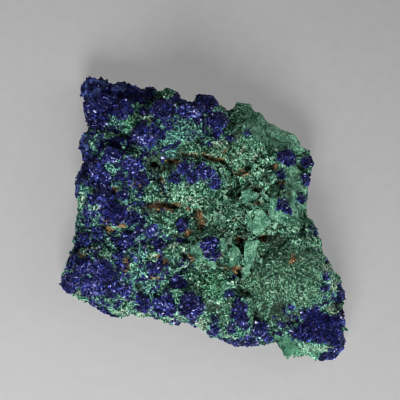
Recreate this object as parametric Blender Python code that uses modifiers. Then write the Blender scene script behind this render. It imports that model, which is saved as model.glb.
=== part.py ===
"""Azurite on malachite: one loose, crystal-crusted piece of ore, lying on its broken flat base.

The rock is a slab with a lobed outline, a mound of knobs on its back, fins, pits and clefts, all grown
into one body. Azurite nodules, balls of wedge-shaped crystals with flat faces, are fused to it.
Units are metres, +Z is up, and the origin is on the resting face. Lists below are in millimetres.
"""

import math
import random

import bmesh
import bpy
from mathutils import Euler, Matrix, Vector, noise
from mathutils.bvhtree import BVHTree

MM = 0.001
NAME = "azurite_on_malachite"

# Driving dimensions, in millimetres.
SLAB_TOP = 11.0  # height of the slab under the mound
SLAB_EDGE = 3.4  # radius of the slab's worn edge, above and below
FACE_TILT = math.radians(15)  # the crystal face looks this far forward of straight up
SHEET_HEIGHT = 12.0  # nodules are set out on a level sheet at this height, then dropped on the rock
VOXEL = 0.55  # grain of the fused rock
ROUGHNESS = 0.55  # height of the lumpy grain on the rock
ROCK_TRIANGLES = 3450
BASE_CUT = 0.9  # how much of the slab's underside is broken off flat

# The slab's outline, clockwise from its north-west corner: (x, y).
OUTLINE = [
    (-20.9, 26.0), (-18.0, 25.6), (-15.8, 24.6), (-14.4, 25.4), (-11.5, 24.6), (-8.0, 23.6), (-5.2, 23.4),
    (-3.4, 21.7), (-1.2, 21.2), (0.8, 22.3), (2.8, 21.3), (4.7, 19.4), (6.7, 21.3), (9.0, 20.4), (12.0, 17.6),
    (15.2, 15.2), (18.7, 12.6), (20.0, 10.3), (19.3, 5.6), (18.5, 1.4), (19.7, -1.6), (19.6, -5.0),
    (22.0, -8.2), (24.9, -12.0), (25.5, -15.2), (24.6, -18.2), (24.9, -22.4), (24.8, -25.0), (21.6, -25.6),
    (17.6, -24.8), (13.2, -22.7), (9.4, -23.2), (5.0, -22.6), (0.6, -20.4), (-3.6, -18.5), (-8.4, -18.0),
    (-13.2, -17.6), (-17.6, -16.5), (-22.0, -14.8), (-25.5, -12.6), (-24.6, -9.6), (-23.3, -5.4),
    (-22.4, -0.8), (-22.0, 3.6), (-21.4, 8.6), (-21.0, 13.4), (-20.6, 17.6), (-20.9, 21.4),
]

# Knobs of the mound: centre (x, y, z), half sizes (x, y, z), turn about Z in degrees.
KNOBS = [
    (-5.6, 14.0, 11.0, 7.4, 6.2, 8.2, 10),  # north dome
    (-11.6, 17.2, 9.0, 4.6, 4.2, 4.8, 0),
    (0.6, 19.6, 7.5, 2.6, 2.6, 4.0, 0),  # dark knob on the north edge
    (2.6, 15.4, 10.5, 2.8, 4.0, 5.4, 0),
    (8.2, 11.0, 11.5, 4.6, 4.8, 6.8, 0),  # green knob
    (12.2, 14.2, 6.8, 8.8, 3.0, 3.8, -37),  # smooth north-east ridge
    (-14.2, 7.4, 9.6, 6.4, 4.6, 5.6, -8),  # west mound
    (-17.6, 12.6, 8.0, 3.6, 3.4, 4.2, 0),
    (-17.2, 20.0, 6.4, 3.7, 5.0, 3.4, -20),  # north-west corner face
    (-0.8, 4.4, 12.4, 6.6, 4.2, 7.2, -6),  # middle ledge
    (-15.6, 0.2, 10.4, 5.0, 3.8, 5.8, 0),
    (-9.0, -2.6, 9.8, 5.6, 4.6, 5.2, 20),
    (-18.6, -10.6, 7.2, 6.3, 4.4, 5.6, -12),  # south-west crust
    (-9.4, -10.0, 8.6, 6.4, 5.2, 5.4, 0),
    (-3.0, -16.2, 7.6, 5.4, 3.8, 6.0, -10),  # south mound
    (2.0, -7.8, 11.2, 4.4, 4.2, 7.4, 0),  # seat of the great nodule
    (6.8, -1.6, 11.6, 4.6, 4.4, 6.6, 0),
    (15.2, -13.2, 9.8, 9.0, 7.4, 9.2, -14),  # south-east fan
    (13.4, -2.6, 11.0, 4.6, 4.8, 7.2, 0),
    (15.4, 4.2, 8.6, 4.0, 5.6, 4.8, 0),  # east shoulder
    (17.4, -5.0, 7.0, 3.2, 5.0, 4.6, 24),
    (6.6, -19.0, 8.4, 3.0, 4.6, 7.0, 8),  # south spur
    (20.6, -21.0, 6.0, 4.6, 4.0, 6.2, -8),  # south-east tip
    (3.2, -13.4, 8.8, 4.2, 4.2, 6.4, 0),
    (-22.6, -11.8, 5.4, 3.0, 2.6, 3.2, 0),
]

# Blocks and thin plates under the crust: centre (x, y, z), size (along, across, thick), then turns about
# X, Y and Z in degrees.
FINS = [
    (11.2, -2.2, 16.6, 6.4, 5.0, 1.8, -10, 6, -34),
    (8.6, -8.4, 16.6, 3.0, 6.2, 2.2, 10, -8, -10),
    (8.4, 3.4, 16.2, 4.4, 4.0, 2.0, 8, 6, 6),
    (10.6, 4.8, 16.4, 4.2, 3.0, 2.4, 12, 4, -20),
    (16.0, 1.2, 13.8, 5.2, 3.2, 1.8, 6, 22, -30),
    (20.6, -20.9, 7.2, 8.2, 5.8, 10.6, 14, 4, -8),  # blue block of the south-east tip
    (19.6, -24.1, 4.4, 9.4, 2.6, 4.6, 12, 0, -6),  # pale broken edge under it
    (-21.0, 13.2, 7.4, 1.4, 4.6, 5.6, 0, 0, 6),  # blue plates on the west edge
    (-22.0, 5.9, 6.4, 1.5, 4.6, 5.0, 0, 0, -3),
    (-14.2, 23.2, 6.0, 5.6, 2.6, 4.6, 0, 10, -12),  # stepped plates of the north-west corner
    (-19.6, 25.1, 5.0, 4.2, 3.4, 4.8, 0, 4, -8),
]

# Pits and clefts: centre (x, y, z), half sizes (x, y, z), turn about Z in degrees.
CLEFTS = [
    (14.2, -7.4, 19.4, 1.5, 1.2, 3.2, 0),
    (12.4, 10.6, 12.6, 1.6, 1.0, 3.0, 20),
    (-13.0, 12.2, 14.2, 1.6, 1.2, 2.6, 0),
    (9.4, -20.4, 14.2, 1.1, 3.0, 5.0, 8),
    (2.0, 10.2, 17.4, 3.4, 0.7, 2.4, -14),
    (-11.6, -14.0, 13.4, 1.2, 1.0, 2.4, 0),
    (-2.0, -13.0, 15.0, 0.9, 1.1, 2.4, 0),
    (-0.4, -2.6, 18.2, 0.8, 1.9, 3.6, 6),
    (4.8, -12.6, 15.4, 0.9, 1.4, 2.4, -20),
]

# Malachite plates that stand free in the middle of the face, set out on the sheet: how far they stand
# above the rock, their slope to the east and to the north, then their corners (x, y).
PLATES = [
    (0.9, -0.10, 0.10, [(7.8, -5.9), (10.2, -5.7), (9.7, -8.0), (9.0, -9.7), (8.2, -11.0), (7.5, -10.6), (7.5, -7.4)]),
    (0.7, 0.00, 0.20, [(7.5, -10.6), (8.4, -10.8), (8.9, -12.0), (8.3, -12.6), (7.0, -12.5), (6.8, -11.4)]),
    (0.8, -0.25, 0.10, [(4.9, -7.4), (5.7, -6.3), (6.6, -7.2), (7.1, -8.6), (5.4, -9.0), (4.2, -8.6)]),
    (0.9, 0.10, 0.30, [(4.2, -9.6), (5.4, -8.9), (7.0, -8.8), (6.2, -10.3), (5.2, -11.0), (4.2, -10.5)]),
    (0.8, 0.15, 0.00, [(3.2, -5.4), (4.0, -5.3), (4.4, -6.8), (3.9, -8.8), (3.3, -7.6)]),
    (0.8, -0.20, 0.10, [(-2.1, -7.5), (0.0, -5.3), (0.5, -6.8), (0.1, -8.2), (0.9, -9.5), (-0.3, -9.9), (-1.9, -8.7)]),
    (0.8, 0.00, 0.30, [(0.9, -9.4), (2.9, -9.4), (2.5, -11.2), (1.6, -10.8)]),
    (1.0, -0.12, 0.16, [(8.8, 0.9), (9.8, 0.8), (11.2, -0.5), (12.5, -2.2), (11.6, -3.7), (10.2, -4.8), (9.1, -4.6),
                        (9.0, -2.4), (9.6, -1.2)]),
    (0.7, 0.25, 0.05, [(7.9, -0.3), (8.7, -0.6), (9.3, -2.4), (8.9, -4.4), (8.0, -4.2), (8.1, -2.0)]),
    (0.9, -0.10, 0.20, [(12.4, 2.3), (13.6, 1.9), (13.3, 0.4), (15.3, -0.8), (14.8, -2.3), (13.4, -2.9), (12.1, -1.6)]),
    (1.1, -0.10, 0.18, [(7.0, 3.2), (8.2, 3.7), (10.0, 3.1), (9.9, 1.9), (8.4, 0.6), (7.1, 1.1)]),
    (0.9, 0.20, -0.10, [(5.1, 1.2), (5.0, 3.5), (5.6, 5.2), (6.6, 6.0), (8.2, 5.6), (9.0, 4.3), (6.9, 4.6), (6.0, 3.8),
                        (5.9, 1.0)]),
    (0.7, -0.15, 0.10, [(11.1, 2.8), (12.6, 3.5), (13.1, 2.4), (12.0, 0.9), (11.0, 1.6)]),
]
PLATE_ROOT = 1.8  # how deep a plate is rooted in the rock

# Sharp crevices on the sheet: their depth, then the corners (x, y) of their mouth.
CREVICES = [
    (2.2, [(5.7, 6.6), (5.0, 5.4), (4.4, 4.0), (4.5, 2.4), (4.8, 1.6), (5.0, 2.6), (4.9, 4.0), (5.5, 5.4)]),
    (2.2, [(6.1, 4.0), (6.7, 3.8), (6.9, 2.4), (6.6, 1.1), (6.2, 1.6), (6.0, 2.8)]),
    (2.0, [(8.7, 5.2), (9.3, 3.9), (10.8, 3.9), (10.7, 3.0), (10.3, 1.9), (10.0, 2.8), (9.0, 3.4), (8.6, 4.2)]),
    (1.8, [(9.7, 1.4), (10.8, 0.8), (11.5, -0.4), (11.0, -0.6), (10.1, 0.4)]),
    (2.4, [(7.0, 0.7), (8.2, 0.3), (7.7, -1.2), (7.9, -3.6), (8.4, -4.9), (7.4, -4.6), (7.2, -2.4), (7.4, -0.6)]),
    (2.8, [(5.9, -5.3), (7.0, -4.8), (8.0, -5.2), (7.6, -6.4), (7.5, -8.6), (7.1, -8.6), (6.7, -7.0), (6.3, -6.2)]),
    (2.4, [(7.2, -9.2), (7.5, -9.4), (7.2, -10.8), (6.8, -12.8), (6.3, -12.8), (6.2, -11.6), (6.8, -10.6)]),
    (2.0, [(-2.6, -6.0), (-1.6, -5.0), (0.0, -4.4), (-0.6, -5.4), (-1.4, -6.4), (-2.2, -7.0)]),
    (2.0, [(2.9, -9.8), (3.7, -9.6), (3.5, -11.2), (2.9, -11.2)]),
    (2.0, [(12.6, -3.6), (13.8, -3.4), (14.6, -5.0), (14.4, -7.0), (13.6, -6.6), (13.2, -5.2)]),
    (1.8, [(10.2, -5.0), (12.0, -4.6), (12.4, -5.6), (10.6, -6.2)]),
    (2.4, [(-10.2, 8.9), (-8.4, 9.3), (-6.4, 8.6), (-6.8, 7.2), (-8.4, 7.4), (-10.0, 8.0)]),
    (2.2, [(-9.6, 1.0), (-6.8, 1.3), (-4.2, 0.9), (-2.2, 0.3), (-3.8, -0.3), (-6.6, 0.1), (-9.4, 0.2)]),
    (2.6, [(9.2, -18.8), (9.9, -18.6), (10.3, -20.4), (9.7, -21.4), (9.0, -20.4)]),
    (1.8, [(13.6, -17.6), (14.3, -17.4), (14.5, -19.2), (13.8, -19.4)]),
]

# Azurite nodules on the sheet over the face: (x, y, radius).
FACE_NODULES = [
    (-14.2, 18.6, 2.1), (-17.8, 20.0, 1.8), (-9.6, 13.8, 2.6), (-11.8, 16.0, 1.6), (-2.3, 18.2, 2.4),
    (-7.6, 18.6, 2.0), (-10.8, 20.8, 1.6), (2.4, 16.2, 1.9), (3.4, 13.6, 1.4), (0.6, 19.2, 2.0),
    (-5.3, 21.0, 1.5), (-15.8, 12.8, 1.5), (-16.5, 9.7, 2.1), (-12.8, 8.4, 2.1),
    (-18.4, 7.4, 1.8), (-10.9, 5.8, 1.9), (-16.8, 5.0, 1.9), (-21.5, 4.4, 1.5), (-17.8, 1.8, 1.8),
    (-14.2, 2.6, 1.5), (-15.8, -1.1, 2.3), (-5.0, 6.2, 1.7), (-3.1, 7.9, 1.7), (-1.6, 5.6, 1.4),
    (0.7, 7.0, 2.0), (2.4, 4.8, 1.5), (-12.6, -1.7, 1.4), (-10.8, -4.3, 1.3), (-8.8, -3.4, 1.6),
    (-13.2, -6.0, 2.0), (-8.0, -6.8, 1.5), (-3.6, -2.9, 1.7), (-18.4, -4.4, 1.5), (-21.0, -5.8, 1.5),
    (-8.0, -10.9, 1.8), (-4.2, -13.4, 1.7), (1.9, -7.2, 2.6), (-21.0, -11.2, 2.0), (-17.6, -10.8, 2.2),
    (-16.0, -14.0, 2.1), (-22.0, -13.6, 1.8), (-12.6, -14.6, 1.6), (-10.8, -17.2, 1.7),
    (-6.8, -17.6, 2.1), (-2.0, -17.6, 2.6), (2.4, -21.6, 1.6), (6.8, -20.8, 2.2), (7.0, -17.8, 1.8),
    (10.4, -22.4, 2.0), (8.6, -24.2, 1.4), (23.2, -26.6, 1.2),
    (17.0, -22.6, 1.5), (24.6, -16.2, 1.3), (22.0, -12.8, 1.2), (19.0, -3.8, 1.4), (14.4, 0.8, 1.7),
    (18.2, 5.6, 1.5), (18.4, 9.0, 1.5), (15.0, 9.9, 2.3), (14.4, 6.4, 1.1), (14.4, -19.2, 1.5),
]

# More nodules are scattered over the flanks that the face does not show.
FLANK_NODULES = 10
FLANK_SEED = 7
FLANK_RADIUS = (1.2, 1.8)
FLANK_HEIGHT = (3.0, 9.0)

FACE_SINK = 0.2  # how far a nodule's centre lies under the rock's surface, times its radius
FLANK_SINK = 0.55
BIG_NODULE = 2.3  # a nodule this large has blades that stand out of it
NODULE_BLADES = 3
BLADE_LENGTH = 1.2  # times the nodule's radius
BLADE_SIDES = 4


def new_object(name, mesh, collection):
    """An object for this mesh, in this collection."""
    obj = bpy.data.objects.new(name, mesh)
    collection.objects.link(obj)
    return obj


def mesh_from(name, build):
    """A mesh filled by build(bm)."""
    mesh = bpy.data.meshes.new(name)
    bm = bmesh.new()
    build(bm)
    bm.to_mesh(mesh)
    bm.free()
    return mesh


def applied(obj):
    """The object's mesh with its modifiers applied, in place of the old one."""
    graph = bpy.context.evaluated_depsgraph_get()
    graph.update()
    mesh = bpy.data.meshes.new_from_object(obj.evaluated_get(graph))
    obj.modifiers.clear()
    obj.data = mesh
    return obj


def fuse(rock):
    """Grows all that the mesh holds into one closed skin of even grain."""
    remesh = rock.modifiers.new("fuse", "REMESH")
    remesh.mode = "VOXEL"
    remesh.voxel_size = VOXEL * MM
    applied(rock)


def slab(collection):
    """The flat slab under the mound, from its outline, with worn edges."""
    curve = bpy.data.curves.new("slab_outline", "CURVE")
    curve.dimensions = "2D"
    curve.fill_mode = "BOTH"
    curve.extrude = (SLAB_TOP / 2 - SLAB_EDGE) * MM
    curve.bevel_depth = SLAB_EDGE * MM
    curve.bevel_resolution = 2
    curve.offset = -SLAB_EDGE * MM
    spline = curve.splines.new("POLY")
    spline.points.add(len(OUTLINE) - 1)
    for point, (x, y) in zip(spline.points, OUTLINE):
        point.co = (x * MM, y * MM, 0, 1)
    spline.use_cyclic_u = True
    obj = new_object("slab_outline", curve, collection)
    obj.location.z = (SLAB_TOP / 2 - BASE_CUT) * MM
    bpy.context.view_layer.update()
    graph = bpy.context.evaluated_depsgraph_get()
    mesh = bpy.data.meshes.new_from_object(obj.evaluated_get(graph))
    mesh.transform(obj.matrix_world)
    bpy.data.objects.remove(obj)
    return mesh


def ellipsoid(bm, x, y, z, rx, ry, rz, turn):
    """Adds one ellipsoid to bm, in millimetres and degrees."""
    place = Matrix.Translation(Vector((x, y, z)) * MM) @ Matrix.Rotation(math.radians(turn), 4, "Z")
    shape = Matrix.Diagonal((rx * MM, ry * MM, rz * MM, 1))
    bmesh.ops.create_icosphere(bm, subdivisions=3, radius=1, matrix=place @ shape)


def fin(bm, x, y, z, along, across, thick, turn_x, turn_y, turn_z):
    """Adds one thin plate to bm, in millimetres and degrees."""
    turn = Euler(map(math.radians, (turn_x, turn_y, turn_z))).to_matrix().to_4x4()
    shape = Matrix.Diagonal((along * MM, across * MM, thick * MM, 1))
    bmesh.ops.create_cube(bm, size=1, matrix=Matrix.Translation(Vector((x, y, z)) * MM) @ turn @ shape)


def fused_rock(collection):
    """The slab, knobs and fins grown into one closed body."""

    def build(bm):
        bm.from_mesh(slab(collection))
        bmesh.ops.remove_doubles(bm, verts=bm.verts, dist=0.001 * MM)
        for knob in KNOBS:
            ellipsoid(bm, *knob)
        for plate in FINS:
            fin(bm, *plate)

    rock = new_object(NAME, mesh_from(NAME, build), collection)
    fuse(rock)
    return rock


def cut_clefts(rock, helpers):
    """Cuts the rounded pits and clefts out of the rock."""

    def build(bm):
        for cleft in CLEFTS:
            ellipsoid(bm, *cleft)

    boolean(rock, solid_helper("clefts", build, helpers), "DIFFERENCE")
    fuse(rock)


def roughen(rock):
    """Raises the lumpy grain of the crust along the rock's normals."""
    mesh = rock.data
    normals = [v.normal.copy() for v in mesh.vertices]
    for vertex, normal in zip(mesh.vertices, normals):
        coarse = noise.noise(vertex.co / (3.6 * MM))
        fine = noise.noise(vertex.co / (1.7 * MM))
        vertex.co += normal * (ROUGHNESS * MM) * (1.5 * coarse + fine)
    mesh.update()


def coarsen(rock):
    """Brings the rock down to ROCK_TRIANGLES."""
    mesh = rock.data
    triangles = sum(len(p.vertices) - 2 for p in mesh.polygons)
    reduce = rock.modifiers.new("coarsen", "DECIMATE")
    reduce.ratio = ROCK_TRIANGLES / triangles
    reduce.use_collapse_triangulate = True
    applied(rock)


def break_base(rock):
    """Breaks the underside off flat at Z 0, which leaves the face that it rests on."""
    bm = bmesh.new()
    bm.from_mesh(rock.data)
    everything = bm.verts[:] + bm.edges[:] + bm.faces[:]
    cut = bmesh.ops.bisect_plane(
        bm, geom=everything, plane_co=(0, 0, 0), plane_no=(0, 0, 1), clear_inner=True, dist=0.01 * MM
    )
    rim = [e for e in cut["geom_cut"] if isinstance(e, bmesh.types.BMEdge)]
    bmesh.ops.contextual_create(bm, geom=rim)
    bmesh.ops.recalc_face_normals(bm, faces=bm.faces)
    bm.to_mesh(rock.data)
    bm.free()


def blade(bm, place, radius):
    """Adds one stubby crystal, a tapered four-sided wedge, that points along place's Z."""
    length = BLADE_LENGTH * radius
    shape = Matrix.Diagonal((0.95, 0.55, 1, 1))
    base = Matrix.Translation((0, 0, length / 2))
    bmesh.ops.create_cone(
        bm, cap_ends=True, segments=BLADE_SIDES, radius1=radius, radius2=0.55 * radius, depth=length,
        matrix=place @ base @ shape,
    )


def nodule(bm, centre, normal, radius, dice):
    """Adds one azurite nodule: a ball with flat facets, and blades that stand out of it."""
    upright = normal.to_track_quat("Z", "Y").to_matrix().to_4x4()
    spin = Euler([dice.uniform(0, math.tau) for _ in range(3)]).to_matrix().to_4x4()
    place = Matrix.Translation(centre)
    made = bmesh.ops.create_icosphere(bm, subdivisions=1, radius=radius, matrix=place @ spin)
    for vertex in made["verts"]:
        vertex.co = centre + (vertex.co - centre) * dice.uniform(0.9, 1.15)
    if radius < BIG_NODULE * MM:
        return
    for number in range(NODULE_BLADES):
        around = Matrix.Rotation(math.tau * (number + dice.uniform(0, 0.5)) / NODULE_BLADES, 4, "Z")
        lean = Matrix.Rotation(math.radians(dice.uniform(15, 60)), 4, "X")
        twist = Matrix.Rotation(dice.uniform(0, math.pi), 4, "Z")
        blade(bm, place @ upright @ around @ lean @ twist, radius)


def drop_direction():
    """The way things fall from the sheet on to the face."""
    return Vector((0, math.sin(FACE_TILT), -math.cos(FACE_TILT)))


def height_finder(rock):
    """A function that drops (x, y) of the sheet on the rock: it returns where it lands, and the normal."""
    bm = bmesh.new()
    bm.from_mesh(rock.data)
    tree = BVHTree.FromBMesh(bm)
    bm.free()
    drop = drop_direction()

    def land(x, y):
        start = Vector((x, y, SHEET_HEIGHT)) * MM - drop * 40 * MM
        hit, normal, _, _ = tree.ray_cast(start, drop)
        if hit is None:
            hit, normal, _, _ = tree.find_nearest(Vector((x, y, 7)) * MM)
        return hit, normal

    return land, tree


def prism(bm, top, bottom):
    """Adds the closed body between two rings of as many corners."""
    upper = [bm.verts.new(corner) for corner in top]
    lower = [bm.verts.new(corner) for corner in bottom]
    faces = [bm.faces.new(upper), bm.faces.new(lower[::-1])]
    for number in range(len(upper)):
        after = (number + 1) % len(upper)
        faces.append(bm.faces.new((lower[number], lower[after], upper[after], upper[number])))
    return faces


def sheet_point(x, y, fall):
    """The point that is this far below the sheet's (x, y), along the drop."""
    return Vector((x, y, SHEET_HEIGHT)) * MM + drop_direction() * fall


def middle(corners):
    """The mean of the corners."""
    return [sum(values) / len(corners) for values in zip(*corners)]


def plate_body(bm, land, lift, slope_x, slope_y, corners):
    """Adds one malachite plate, which stands on the rock under its middle."""
    mid_x, mid_y = middle(corners)
    hit, _ = land(mid_x, mid_y)
    fall = (hit - Vector((mid_x, mid_y, SHEET_HEIGHT)) * MM).dot(drop_direction())
    top = []
    for x, y in corners:
        rise = lift + slope_x * (x - mid_x) + slope_y * (y - mid_y)
        top.append(sheet_point(x, y, fall - rise * MM))
    root = drop_direction() * (PLATE_ROOT + lift) * MM
    prism(bm, top, [corner + root for corner in top])


def crevice_body(bm, land, depth, corners):
    """Adds the wedge that cuts one crevice: wide at its mouth and a third as wide at the bottom."""
    mid_x, mid_y = middle(corners)
    falls = []
    for x, y in corners + [(mid_x, mid_y)]:
        hit, _ = land(x, y)
        falls.append((hit - Vector((x, y, SHEET_HEIGHT)) * MM).dot(drop_direction()))
    mouth = min(falls) - 1.5 * MM
    floor = falls[-1] + depth * MM
    top = [sheet_point(x, y, mouth) for x, y in corners]
    narrow = [(mid_x + (x - mid_x) * 0.45, mid_y + (y - mid_y) * 0.8) for x, y in corners]
    prism(bm, top, [sheet_point(x, y, floor) for x, y in narrow])


def solid_helper(name, build, helpers):
    """A hidden helper body filled by build(bm), with its faces outward."""

    def close(bm):
        build(bm)
        bmesh.ops.triangulate(bm, faces=bm.faces)
        bmesh.ops.recalc_face_normals(bm, faces=bm.faces)

    body = new_object(name, mesh_from(name, close), helpers)
    body.hide_render = True
    body.display_type = "WIRE"
    return body


def boolean(rock, helper, operation):
    """Joins the helper to the rock, or cuts it out of it."""
    step = rock.modifiers.new(helper.name, "BOOLEAN")
    step.operation = operation
    step.object = helper
    step.use_self = True
    applied(rock)


def cut_crevices(rock, helpers):
    """Cuts the sharp crevices between the plates."""
    land, _ = height_finder(rock)

    def build(bm):
        for crevice in CREVICES:
            crevice_body(bm, land, *crevice)

    boolean(rock, solid_helper("crevices", build, helpers), "DIFFERENCE")


def add_plates(rock, helpers):
    """Fuses the malachite plates to the rock."""
    land, _ = height_finder(rock)

    def build(bm):
        for plate in PLATES:
            plate_body(bm, land, *plate)

    boolean(rock, solid_helper("plates", build, helpers), "UNION")


def nodule_seats(rock):
    """Yields (centre, normal, radius) of each nodule, dropped on to the rock."""
    land, tree = height_finder(rock)
    for x, y, radius in FACE_NODULES:
        hit, normal = land(x, y)
        yield hit - normal * FACE_SINK * radius * MM, normal, radius * MM
    dice = random.Random(FLANK_SEED)
    for number in range(FLANK_NODULES):
        angle = math.tau * (number + dice.uniform(0.2, 0.8)) / FLANK_NODULES
        height = dice.uniform(*FLANK_HEIGHT) * MM
        radius = dice.uniform(*FLANK_RADIUS) * MM
        outside = Vector((40 * MM * math.cos(angle), 40 * MM * math.sin(angle), height))
        inward = Vector((-math.cos(angle), -math.sin(angle), 0))
        hit, normal, _, _ = tree.ray_cast(outside, inward)
        yield hit - normal * FLANK_SINK * radius, normal, radius


def add_nodules(rock, helpers):
    """Fuses the azurite nodules to the rock."""
    dice = random.Random(FLANK_SEED + 1)

    def build(bm):
        for centre, normal, radius in nodule_seats(rock):
            nodule(bm, centre, normal, radius, dice)

    boolean(rock, solid_helper("nodules", build, helpers), "UNION")


def ore_material():
    """Azurite blue and malachite green, mixed to the one colour that a single solid can carry."""
    material = bpy.data.materials.new("azurite_malachite")
    material.use_nodes = True
    shader = material.node_tree.nodes["Principled BSDF"]
    shader.inputs["Base Color"].default_value = (0.045, 0.14, 0.20, 1)
    shader.inputs["Roughness"].default_value = 0.6
    return material


def main():
    for obj in list(bpy.data.objects):
        bpy.data.objects.remove(obj)
    scene = bpy.context.scene
    parts = bpy.data.collections.new("azurite_specimen")
    helpers = bpy.data.collections.new("cutters")
    scene.collection.children.link(parts)
    scene.collection.children.link(helpers)

    rock = fused_rock(parts)
    cut_clefts(rock, helpers)
    roughen(rock)
    coarsen(rock)
    break_base(rock)
    cut_crevices(rock, helpers)
    add_plates(rock, helpers)
    add_nodules(rock, helpers)
    rock.data.materials.clear()
    rock.data.materials.append(ore_material())
    rock.data.update()
    print(NAME, "has", sum(len(p.vertices) - 2 for p in rock.data.polygons), "triangles")


main()
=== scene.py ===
# %% [markdown]
# # Azurite on malachite
# A lump of ore about 52 mm across. Green malachite makes its body, dark blue azurite sits on it in
# nodules of small glassy crystals, and brown limonite fills the seams. The CAD solid already has the
# knobs, fins, clefts and nodules. What it lacks is grain, so the solid is loaded first and everything
# is grown on it.

# %% Load the solid
import math
import random

import bmesh
import bpy
import numpy as np
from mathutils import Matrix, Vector, noise
from mathutils.bvhtree import BVHTree


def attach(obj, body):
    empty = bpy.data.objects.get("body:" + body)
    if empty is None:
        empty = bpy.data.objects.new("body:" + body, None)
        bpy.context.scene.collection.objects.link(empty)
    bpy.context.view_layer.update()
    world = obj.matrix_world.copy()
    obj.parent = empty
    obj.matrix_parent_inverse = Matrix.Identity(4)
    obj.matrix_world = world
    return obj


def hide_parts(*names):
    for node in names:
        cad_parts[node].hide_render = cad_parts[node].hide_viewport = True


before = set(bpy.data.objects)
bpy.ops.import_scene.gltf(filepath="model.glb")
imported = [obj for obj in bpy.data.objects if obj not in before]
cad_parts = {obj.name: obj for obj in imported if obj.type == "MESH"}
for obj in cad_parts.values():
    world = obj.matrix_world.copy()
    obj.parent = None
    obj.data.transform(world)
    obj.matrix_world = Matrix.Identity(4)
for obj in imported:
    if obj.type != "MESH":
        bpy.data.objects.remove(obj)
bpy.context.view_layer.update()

MM = 0.001
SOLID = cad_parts["azurite_on_malachite"]

# %% [markdown]
# ## One way to look at the face
# A specimen is described face up: every mineral patch has a place on the face. The face leans 15
# degrees forward, so a level sheet is held over it and each patch is dropped on the rock along the
# line of sight. This way a list of places on the sheet is enough to colour a bumpy rock.

# %% The sheet over the face
EYE = Vector((-0.36, -101.86, 398.4))  # millimetres
AIM = Vector((-0.36, 1.67, 12.0))
TOWARDS = np.array((EYE - AIM).normalized())  # from the rock towards the eye
SHEET_HEIGHT = 12.0


def on_sheet(points):
    """Where points of the rock (N x 3, mm) show on the sheet (N x 2, mm)."""
    eye = np.array(EYE)
    share = (SHEET_HEIGHT - eye[2]) / (points[:, 2] - eye[2])
    return eye[:2] + (points[:, :2] - eye[:2]) * share[:, None]


print("the face looks", round(math.degrees(math.acos(TOWARDS[2])), 1), "degrees off straight up")

# %% [markdown]
# ## The patches
# Each patch is an oval on the sheet: x, y, half width, half height and turn in degrees. A level oval
# leaves out the turn, and a round one gives its radius alone. Lengths are in millimetres. Patches of
# one list that overlap make one larger patch, which is how a shape that is no oval is built up.
#
# The first three lists settle what is azurite. Nodules are round and stand alone, and the crusts of
# the west side and the south-east corner are several ovals each. Round them the two minerals are
# finely mixed, and a few spots between the nodules have stayed clean green.

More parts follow.
